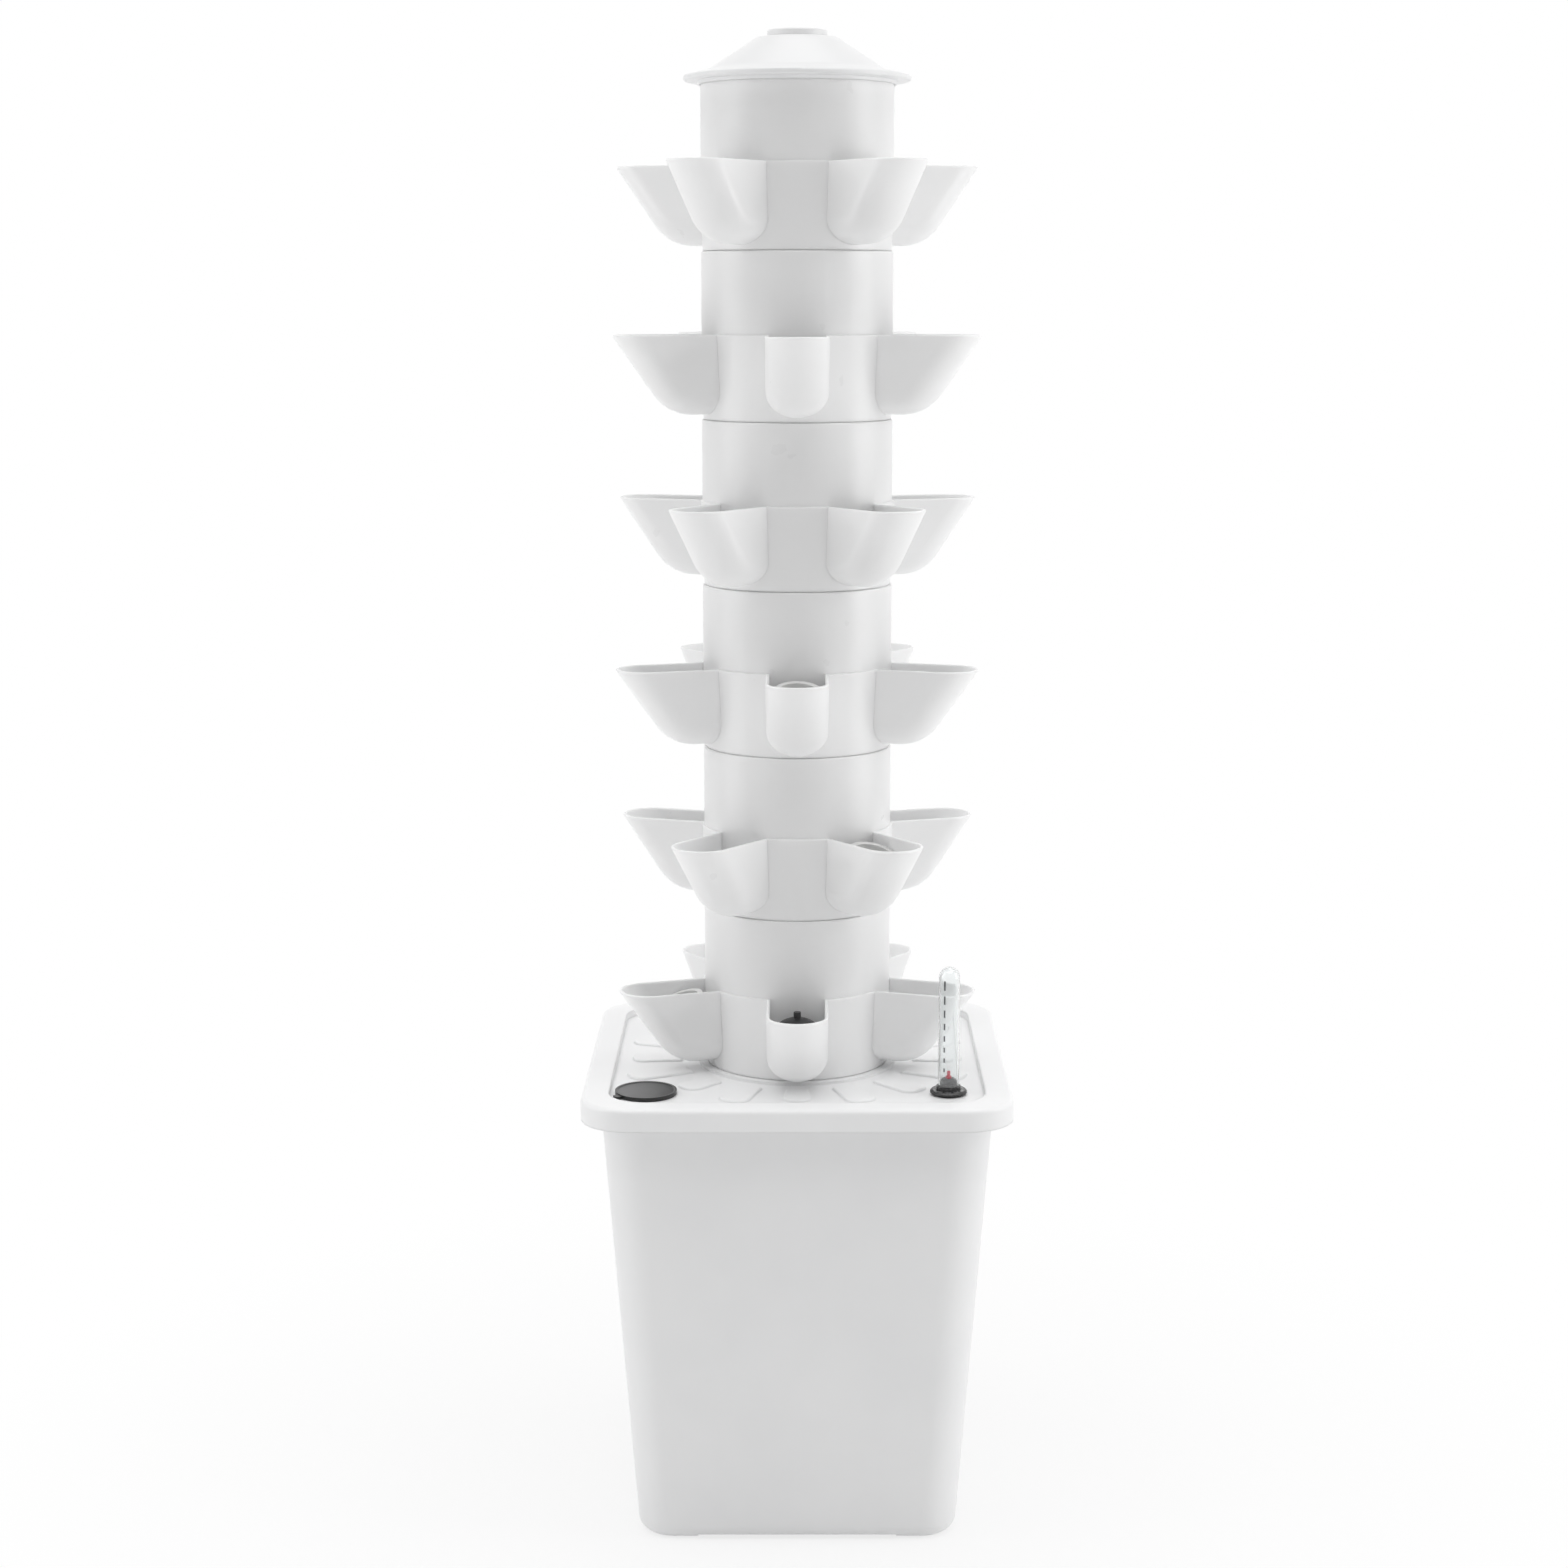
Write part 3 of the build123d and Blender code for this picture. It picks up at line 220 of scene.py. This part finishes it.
def black_rubber():
    """Soft black rubber: matt, with a dusty bloom in patches."""
    material, shop = start_finish("black_rubber")
    bloom = speckle(shop, RUBBER_BLOOM, detail=5.0)
    tone = tint(shop, bloom, (0.40, RUBBER_BLACK), (0.80, RUBBER_DUSTY))
    grain = speckle(shop, RUBBER_GRAIN)
    relief = fine_skin(shop, grain, RUBBER_GRAIN_STRENGTH, soft_edges(shop, DARK_EDGE))
    uneven = wandering(RUBBER_ROUGHNESS, RUBBER_ROUGHNESS_SPREAD, bloom)
    end_finish(shop, Base_Color=tone, Roughness=uneven, Normal=relief)
    return material


STEEL_RINGS_SCALE = (50.0, 9000.0, 50.0)
STEEL_RINGS_STRENGTH = 0.2
STEEL_RINGS_DEPTH = 0.00005
STEEL_DEEP = (0.58, 0.58, 0.59)
STEEL_PALE = (0.74, 0.74, 0.75)
STEEL_ROUGHNESS = 0.22
STEEL_RINGS_ROUGHNESS = 0.15


def ground_steel():
    """Ground steel: fine rings round the shaft, which lies along Y."""
    material, shop = start_finish("ground_steel")
    rings = drawn_out(shop, STEEL_RINGS_SCALE)
    tone = tint(shop, rings, (0.30, STEEL_DEEP), (0.70, STEEL_PALE))
    relief = shop.node("ShaderNodeBump", inputs={
        "Strength": STEEL_RINGS_STRENGTH, "Distance": STEEL_RINGS_DEPTH, "Height": rings,
    })
    uneven = STEEL_ROUGHNESS + STEEL_RINGS_ROUGHNESS * rings
    end_finish(shop, Base_Color=tone, Metallic=1.0, Roughness=uneven, Normal=relief)
    return material


PUMP_BLACK = (0.016, 0.016, 0.017)
PUMP_WORN = (0.036, 0.036, 0.037)
PUMP_GLOSS = 0.42
IMPELLER_GREY = (0.20, 0.20, 0.21)
IMPELLER_WORN = (0.27, 0.27, 0.28)
IMPELLER_GLOSS = 0.45
rubber = black_rubber()
pump_black = dark_plastic("pump_black", PUMP_BLACK, PUMP_WORN, PUMP_GLOSS)
impeller_grey = dark_plastic("impeller_grey", IMPELLER_GREY, IMPELLER_WORN, IMPELLER_GLOSS)
dress(pump_black, "pump_housing", "pump_chamber_cover", "pump_inlet_cover", "pump_outlet")
dress(impeller_grey, "pump_impeller")
dress(ground_steel(), "pump_shaft")
dress(rubber, "pump_suction_cups", "pump_cord_gland")


# Riser: three lengths of plain extruded pipe, pushed over the pump's outlet and joined by two
# couplers. It stands in the middle of the tower and ends above the drip tray's floor.
PIPE_LINES_SCALE = (900.0, 900.0, 6.0)
PIPE_LINES_STRENGTH = 0.20
PIPE_DEEP = (0.74, 0.75, 0.76)
PIPE_PALE = (0.82, 0.83, 0.83)
PIPE_ROUGHNESS = 0.38
PIPE_ROUGHNESS_SPREAD = 0.15
PIPE_EDGE = 0.0005
PIPE_IOR = 1.52


def drawn_pipe():
    """Extruded grey-white pipe with faint draw lines along its length."""
    material, shop = start_finish("drawn_pipe")
    lines = drawn_out(shop, PIPE_LINES_SCALE, detail=3.0)
    tone = tint(shop, lines, (0.30, PIPE_DEEP), (0.70, PIPE_PALE))
    relief = fine_skin(shop, lines, PIPE_LINES_STRENGTH, soft_edges(shop, PIPE_EDGE))
    uneven = wandering(PIPE_ROUGHNESS, PIPE_ROUGHNESS_SPREAD, lines)
    end_finish(shop, Base_Color=tone, Roughness=uneven, Normal=relief, IOR=PIPE_IOR)
    return material


pipe_white = drawn_pipe()
dress(pipe_white, "riser_pipe_lower", "riser_pipe_middle", "riser_pipe_upper")
dress(pipe_white, "riser_coupler_lower", "riser_coupler_upper")


# Lid: a square white moulding with a deep skirt over the tank's rim, a sunk panel with raised petals
# and a round socket for the lowest tier. A rubber grommet lines the hole where the pump's lead leaves.
LID_GLOSS = 0.34
LID_EDGE = 0.0026
LID_PALE = (0.935, 0.936, 0.938)
LID_DEEP = (0.915, 0.917, 0.920)
dress(white_plastic("lid_white", LID_GLOSS, LID_EDGE, LID_PALE, LID_DEEP), "tank_lid")
dress(rubber, "cord_grommet")


# Filler cap: a shallow dark grey disc with a pull tab, pressed into the port at the lid's front left.
# Its sunk top is finely grained and its edge is polished black.
def off_axis(shop, low, high):
    """A point's place beside the upright axis of a box, and its distance from that axis."""
    middle = (low + high) / 2
    place = shop.node("ShaderNodeTexCoord", output="Object")
    centred = shop.node("ShaderNodeMapping", inputs={
        "Vector": place, "Location": (-middle.x, -middle.y, 0),
    })
    flat = shop.node("ShaderNodeVectorMath", {"operation": "MULTIPLY"}, {0: centred, 1: (1, 1, 0)})
    return flat, shop.node("ShaderNodeVectorMath", {"operation": "LENGTH"}, {0: flat}, output="Value")


FILL_CAP_GRAIN = 0.0011
FILL_CAP_GRAIN_STRENGTH = 0.30
FILL_CAP_SHEEN_REACH = 0.024
FILL_CAP_PATCHES = 0.02
FILL_CAP_PATCH_SPREAD = 0.25
FILL_CAP_RIM_IN = 0.0222
FILL_CAP_RIM_OUT = 0.0232
FILL_CAP_SHEEN_LEFT = (0.125, 0.125, 0.126)
FILL_CAP_SHEEN_RIGHT = (0.012, 0.012, 0.013)
FILL_CAP_RIM = (0.008, 0.008, 0.008, 1.0)
FILL_CAP_ROUGHNESS = 0.42
FILL_CAP_RIM_POLISH = 0.12


def filler_finish():
    """Dark grey plastic, grained on top, with a painted sheen that makes the top paler towards the left
    side, and a black rim.
    """
    material, shop = start_finish("filler_grey")
    low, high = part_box("fill_cap")
    flat, out = off_axis(shop, low, high)
    rim = shop.node("ShaderNodeMapRange", inputs={
        "Value": out, "From Min": FILL_CAP_RIM_IN, "From Max": FILL_CAP_RIM_OUT,
        "To Min": 0.0, "To Max": 1.0,
    })
    across = shop.node("ShaderNodeSeparateXYZ", inputs={"Vector": flat}, output="X")
    patches = speckle(shop, FILL_CAP_PATCHES, detail=3.0)
    # Painted sheen: the top goes from pale grey on the left to near black on the right, as if light glanced
    # off it, with random patches on top.
    sheen_and_patches = wandering(across * (0.5 / FILL_CAP_SHEEN_REACH) + 0.5, FILL_CAP_PATCH_SPREAD, patches)
    grey = tint(shop, sheen_and_patches, (0.0, FILL_CAP_SHEEN_LEFT), (1.0, FILL_CAP_SHEEN_RIGHT))
    tone = shop.node("ShaderNodeMix", {"data_type": "RGBA"}, {
        "Factor": rim, 6: grey, 7: FILL_CAP_RIM,
    }, output=2)
    grain = speckle(shop, FILL_CAP_GRAIN, detail=3.0)
    relief = fine_skin(shop, grain, FILL_CAP_GRAIN_STRENGTH, soft_edges(shop, DARK_EDGE))
    uneven = FILL_CAP_ROUGHNESS - FILL_CAP_RIM_POLISH * rim
    end_finish(shop, Base_Color=tone, Roughness=uneven, Normal=relief, IOR=DARK_IOR)
    return material


dress(filler_finish(), "fill_cap")


# Level gauge: a dark base screwed through the lid's front right corner with a rubber seal and a nut,
# and a clear domed tube over it. A red rod on a foam float rises in the tube, beside printed marks.
TUBE_CLEARNESS = 0.96
TUBE_COLOUR = (0.97, 0.985, 0.985, 1.0)
TUBE_HAZE = 0.012
TUBE_ROUGHNESS = 0.03
TUBE_HAZE_ROUGHNESS = 0.06
TUBE_IOR = 1.49


def clear_plastic():
    """Clear polystyrene, slightly milky, with a faint haze where it is moulded thicker."""
    material, shop = start_finish("clear_plastic")
    uneven = TUBE_ROUGHNESS + TUBE_HAZE_ROUGHNESS * speckle(shop, TUBE_HAZE)
    end_finish(
        shop, Base_Color=TUBE_COLOUR, Roughness=uneven, IOR=TUBE_IOR,
        Transmission_Weight=TUBE_CLEARNESS,
    )
    return material


ROD_STREAKS_SCALE = (1500.0, 1500.0, 30.0)
ROD_DEEP = (0.52, 0.006, 0.035)
ROD_BRIGHT = (0.66, 0.012, 0.055)
ROD_ROUGHNESS = 0.25
ROD_STREAKS_ROUGHNESS = 0.10
ROD_EDGE = 0.0003


def red_plastic():
    """Glossy red plastic with faint streaks along the rod."""
    material, shop = start_finish("red_plastic")
    streaks = drawn_out(shop, ROD_STREAKS_SCALE)
    tone = tint(shop, streaks, (0.30, ROD_DEEP), (0.70, ROD_BRIGHT))
    uneven = ROD_ROUGHNESS + ROD_STREAKS_ROUGHNESS * streaks
    end_finish(shop, Base_Color=tone, Roughness=uneven, Normal=soft_edges(shop, ROD_EDGE))
    return material


FOAM_CELLS_SCALE = 900.0
FOAM_CELLS_STRENGTH = 0.5
FOAM_CELLS_DEPTH = 0.0003
FOAM_PALE = (0.84, 0.84, 0.82)
FOAM_DEEP = (0.76, 0.76, 0.74)
FOAM_ROUGHNESS = 0.75
FOAM_CELLS_ROUGHNESS = 0.15


def closed_foam():
    """Closed-cell white foam: small shallow pits all over."""
    material, shop = start_finish("closed_foam")
    place = shop.node("ShaderNodeTexCoord", output="Object")
    cells = shop.node("ShaderNodeTexVoronoi", inputs={"Vector": place, "Scale": FOAM_CELLS_SCALE})
    tone = tint(shop, cells, (0.0, FOAM_PALE), (0.6, FOAM_DEEP))
    relief = shop.node("ShaderNodeBump", inputs={
        "Strength": FOAM_CELLS_STRENGTH, "Distance": FOAM_CELLS_DEPTH, "Height": 1 - cells,
    })
    uneven = FOAM_ROUGHNESS + FOAM_CELLS_ROUGHNESS * cells
    end_finish(shop, Base_Color=tone, Roughness=uneven, Normal=relief)
    return material


INK_FADE = 0.8
INK_PATCHES = 0.0006
INK_PATCH_SHARE = 0.5
INK_FULL = (0.030, 0.032, 0.034)
INK_THIN = (0.260, 0.265, 0.270)
INK_ROUGHNESS = 0.40
INK_THIN_ROUGHNESS = 0.2


def mark_ink():
    """Dark printing ink, a little thin in places and more so towards the lower marks."""
    material, shop = start_finish("mark_ink")
    low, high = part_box("gauge_tube")
    place = shop.node("ShaderNodeTexCoord", output="Object")
    height = shop.node("ShaderNodeSeparateXYZ", inputs={"Vector": place}, output="Z")
    down = shop.node("ShaderNodeMapRange", inputs={
        "Value": height, "From Min": high.z, "From Max": low.z, "To Min": 0.0, "To Max": INK_FADE,
    })
    thin = down + INK_PATCH_SHARE * speckle(shop, INK_PATCHES, detail=3.0)
    tone = tint(shop, thin, (0.30, INK_FULL), (1.0, INK_THIN))
    end_finish(shop, Base_Color=tone, Roughness=INK_ROUGHNESS + INK_THIN_ROUGHNESS * thin)
    return material


MARK_COUNT = 8
MARK_TOP_BELOW_DOME = 0.0101
MARK_FIRST_LENGTH = 0.0078
MARK_FIRST_PITCH = 0.0125
MARK_SHRINK = 0.88
MARK_PITCH_SHRINK = 0.935
MARK_WIDTH = 0.0014
MARK_STEPS = 4
MARK_FILM = 0.00006
MARK_STANDOFF = 0.00004
MARK_LEFT_OF_FRONT = math.radians(29)


def make_gauge_marks():
    """Upright strokes printed on the tube, shorter and closer together towards the bottom."""
    low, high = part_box("gauge_tube")
    axis = (low + high) / 2
    radius = (high.x - low.x) / 2 + MARK_STANDOFF
    arc = MARK_WIDTH / radius
    start = -math.pi / 2 - MARK_LEFT_OF_FRONT - arc / 2
    shape = bmesh.new()
    top = high.z - MARK_TOP_BELOW_DOME
    length = MARK_FIRST_LENGTH
    pitch = MARK_FIRST_PITCH
    for _ in range(MARK_COUNT):
        foot = Vector((axis.x + radius * math.cos(start), axis.y + radius * math.sin(start), top - length))
        lower = shape.verts.new(foot)
        upper = shape.verts.new(foot + Vector((0, 0, length)))
        side = shape.edges.new((lower, upper))
        bmesh.ops.spin(shape, geom=[side], cent=axis, axis=(0, 0, 1), angle=arc, steps=MARK_STEPS)
        top -= pitch
        length *= MARK_SHRINK
        pitch *= MARK_PITCH_SHRINK
    bmesh.ops.recalc_face_normals(shape, faces=shape.faces)
    bmesh.ops.solidify(shape, geom=shape.faces[:], thickness=MARK_FILM)
    mesh = bpy.data.meshes.new("gauge_marks")
    shape.to_mesh(mesh)
    shape.free()
    marks = bpy.data.objects.new("gauge_marks", mesh)
    bpy.context.scene.collection.objects.link(marks)
    return marks


GAUGE_NECK_OUT = 0.0075
GAUGE_HIGHLIGHT_IN = 0.0108
GAUGE_HIGHLIGHT_OUT = 0.0130
GAUGE_HIGHLIGHT_SEGMENTS = 10
GAUGE_HIGHLIGHT_SHARE = 0.72
GAUGE_PATCHES = 0.003
GAUGE_BLACK = 0.010
GAUGE_NECK_GREY = 0.115
GAUGE_HIGHLIGHT_GREY = 0.150
GAUGE_PATCH_GREY = 0.030
GAUGE_BLUE = 1.02
GAUGE_ROUGHNESS = 0.22
GAUGE_NECK_ROUGHNESS = 0.20
GAUGE_PATCH_ROUGHNESS = 0.10
GAUGE_EDGE = 0.0004


def gauge_finish():
    """Black polished flange with a painted highlight, a ring of paler grey segments where light would catch
    it, and a grey neck in the tube's foot.
    """
    material, shop = start_finish("gauge_dark")
    low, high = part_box("gauge_base")
    flat, out = off_axis(shop, low, high)
    across = shop.node("ShaderNodeSeparateXYZ", inputs={"Vector": flat}, output="X")
    along = shop.node("ShaderNodeSeparateXYZ", inputs={"Vector": flat}, output="Y")
    turn = shop.maths("FRACT", shop.maths("ARCTAN2", along, across) * (GAUGE_HIGHLIGHT_SEGMENTS / math.tau), 0.0)
    highlight_segment = shop.maths("LESS_THAN", turn, GAUGE_HIGHLIGHT_SHARE)
    highlight_band = shop.maths("GREATER_THAN", out, GAUGE_HIGHLIGHT_IN) * shop.maths("LESS_THAN", out, GAUGE_HIGHLIGHT_OUT)
    neck = shop.maths("LESS_THAN", out, GAUGE_NECK_OUT)
    patches = speckle(shop, GAUGE_PATCHES, detail=3.0)
    # Painted highlight: the paler grey segments in a ring on the flange stand in for light catching its
    # rounded groove.
    painted_highlight = GAUGE_HIGHLIGHT_GREY * highlight_segment * highlight_band
    shade = GAUGE_BLACK + GAUGE_NECK_GREY * neck + painted_highlight + GAUGE_PATCH_GREY * patches
    tone = shop.node("ShaderNodeCombineColor", inputs={
        "Red": shade, "Green": shade, "Blue": shade * GAUGE_BLUE,
    })
    uneven = GAUGE_ROUGHNESS + GAUGE_NECK_ROUGHNESS * neck + GAUGE_PATCH_ROUGHNESS * patches
    edges = soft_edges(shop, GAUGE_EDGE)
    end_finish(shop, Base_Color=tone, Roughness=uneven, Normal=edges, IOR=DARK_IOR)
    return material


dress(gauge_finish(), "gauge_base")
dress(pump_black, "gauge_nut")
dress(rubber, "gauge_seal")
dress(clear_plastic(), "gauge_tube")
dress(red_plastic(), "gauge_rod")
dress(closed_foam(), "gauge_float")
gauge_marks = make_gauge_marks()
gauge_marks.data.materials.append(mark_ink())
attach(gauge_marks, "lid")


# Tiers: six alike white mouldings, stacked by a spigot in the tube below, each turned by half a
# pocket's spacing. Their walls are thin enough to let some light through.
TIER_GLOSS = 0.30
TIER_EDGE = 0.0012
TIER_COUNT = 6
TIER_PALE = (0.940, 0.941, 0.943)
TIER_DEEP = (0.918, 0.920, 0.923)
TIER_DEPTH = 0.003
tier_white = white_plastic(
    "tier_white", TIER_GLOSS, TIER_EDGE, TIER_PALE, TIER_DEEP,
    Subsurface_Weight=1.0, Subsurface_Radius=(1.0, 1.0, 1.0), Subsurface_Scale=TIER_DEPTH,
)
for number in range(1, TIER_COUNT + 1):
    dress(tier_white, f"tier_{number}")


# Net cups and plug: thin slotted white cups that stand tilted in one pocket of each tier, and a black
# domed plug with a nub that closes the lowest front pocket.
CUP_GLOSS = 0.45
CUP_EDGE = 0.0005
CUP_PALE = (0.84, 0.84, 0.83)
CUP_DEEP = (0.79, 0.79, 0.78)
PLUG_BLACK = (0.014, 0.014, 0.015)
PLUG_WORN = (0.030, 0.030, 0.031)
PLUG_GLOSS = 0.35
cup_white = white_plastic("cup_white", CUP_GLOSS, CUP_EDGE, CUP_PALE, CUP_DEEP)
for number in range(1, TIER_COUNT + 1):
    dress(cup_white, f"net_cup_{number}")
dress(dark_plastic("plug_black", PLUG_BLACK, PLUG_WORN, PLUG_GLOSS), "pocket_plug")


# Drip tray and cap: a white dish with a ring of holes sits on the top tube and spreads the water that
# the riser brings, and a white conical cap with a flat knob covers it.
CAP_GLOSS = 0.32
CAP_EDGE = 0.0014
cap_white = white_plastic("cap_white", CAP_GLOSS, CAP_EDGE)
dress(cap_white, "top_cap", "drip_tray")


# Studio: a pale floor that goes over into a white backdrop, light from above and from both sides,
# and a camera a little above the middle of the tower, as in the photograph.
FLOOR_RADIUS = 12.0
FLOOR_SIDES = 64
FLOOR_COLOUR = 0.86
WHITE = (1.0, 1.0, 1.0, 1.0)
SHADOW_SHARE = 0.25
SHADOW_FADE_START = 0.24
SHADOW_FADE_END = 0.85
SKY_LIGHT = 0.345
TOP_LIGHT = 1.72
TOP_LIGHT_HEIGHT = 4.0
TOP_LIGHT_SPREAD = math.radians(70)
LEFT_LIGHT = 13.8
RIGHT_LIGHT = 18.8
SIDE_LIGHT_WIDTH = 1.2
SIDE_LIGHT_LENGTH = 2.4
SIDE_LIGHT_PLACE = Vector((2.3, -0.3, 1.1))
SIDE_LIGHT_AIM = 0.6
CAMERA_HEIGHT = 1.0176
CAMERA_DISTANCE = 2.3089
CAMERA_DOWN = math.radians(10.01)
CAMERA_LENS = 64.64
CAMERA_SENSOR = 36.0
CAMERA_SHIFT = -0.00844


def seen_directly(shop):
    """1 for what the camera sees, straight or in a mirror or through glass, and 0 for what only lights."""
    camera = shop.node("ShaderNodeLightPath", output="Is Camera Ray")
    glossy = shop.node("ShaderNodeLightPath", output="Is Glossy Ray")
    through = shop.node("ShaderNodeLightPath", output="Is Transmission Ray")
    return shop.maths("MINIMUM", camera + glossy + through, 1.0)


def floor_finish():
    """Pale floor with the object's shadow, which fades into plain white further out."""
    material, shop = start_finish("studio_floor")
    place = shop.node("ShaderNodeTexCoord", output="Object")
    out = shop.node("ShaderNodeVectorMath", {"operation": "LENGTH"}, {0: place}, output="Value")
    fade = shop.node("ShaderNodeMapRange", {"interpolation_type": "SMOOTHSTEP"}, {
        "Value": out, "From Min": SHADOW_FADE_START, "From Max": SHADOW_FADE_END,
        "To Min": 1 - SHADOW_SHARE, "To Max": 1.0,
    })
    pale = (FLOOR_COLOUR, FLOOR_COLOUR, FLOOR_COLOUR, 1.0)
    lit = shop.node("ShaderNodeBsdfDiffuse", inputs={"Color": pale})
    white = shop.node("ShaderNodeEmission", inputs={"Color": WHITE, "Strength": 1.0})
    mixed = shop.node("ShaderNodeMixShader", inputs={0: fade * seen_directly(shop), 1: lit, 2: white})
    shop.node("ShaderNodeOutputMaterial", inputs={"Surface": mixed})
    return material


def make_floor():
    """A wide round floor at the height of the tank's feet."""
    shape = bmesh.new()
    bmesh.ops.create_circle(shape, cap_ends=True, radius=FLOOR_RADIUS, segments=FLOOR_SIDES)
    mesh = bpy.data.meshes.new("floor")
    shape.to_mesh(mesh)
    shape.free()
    floor = bpy.data.objects.new("floor", mesh)
    bpy.context.scene.collection.objects.link(floor)
    floor.data.materials.append(floor_finish())


def make_sky():
    """White to the eye, and a softer white as light."""
    world = bpy.data.worlds.new("studio")
    world.use_nodes = True
    world.node_tree.nodes.clear()
    shop = Wire(world.node_tree)
    strength = SKY_LIGHT + (1 - SKY_LIGHT) * seen_directly(shop)
    sky = shop.node("ShaderNodeBackground", inputs={"Color": WHITE, "Strength": strength})
    shop.node("ShaderNodeOutputWorld", inputs={"Surface": sky})
    bpy.context.scene.world = world


def add_lamp(name, kind, energy, place, toward, **settings):
    """A lamp at a place, turned to shine toward a point."""
    lamp = bpy.data.lights.new(name, kind)
    lamp.energy = energy
    for setting, value in settings.items():
        setattr(lamp, setting, value)
    holder = bpy.data.objects.new(name, lamp)
    holder.location = place
    holder.rotation_euler = (Vector(toward) - Vector(place)).to_track_quat("-Z", "Y").to_euler()
    bpy.context.scene.collection.objects.link(holder)


def make_camera():
    """A camera straight in front of the tower, tilted down."""
    lens = bpy.data.cameras.new("camera")
    lens.sensor_width = CAMERA_SENSOR
    lens.lens = CAMERA_LENS
    lens.shift_x = CAMERA_SHIFT
    camera = bpy.data.objects.new("camera", lens)
    camera.location = (0, -CAMERA_DISTANCE, CAMERA_HEIGHT)
    camera.rotation_euler = (math.pi / 2 - CAMERA_DOWN, 0, 0)
    bpy.context.scene.collection.objects.link(camera)
    bpy.context.scene.camera = camera


make_floor()
make_sky()
add_lamp("top_light", "SUN", TOP_LIGHT, (0, 0, TOP_LIGHT_HEIGHT), (0, 0, 0), angle=TOP_LIGHT_SPREAD)
for name, side, energy in (("left_light", -1, LEFT_LIGHT), ("right_light", 1, RIGHT_LIGHT)):
    spot = Vector((side * SIDE_LIGHT_PLACE.x, SIDE_LIGHT_PLACE.y, SIDE_LIGHT_PLACE.z))
    add_lamp(
        name, "AREA", energy, spot, (0, 0, spot.z * SIDE_LIGHT_AIM),
        shape="RECTANGLE", size=SIDE_LIGHT_WIDTH, size_y=SIDE_LIGHT_LENGTH,
    )
make_camera()
bpy.context.scene.view_settings.view_transform = "Standard"
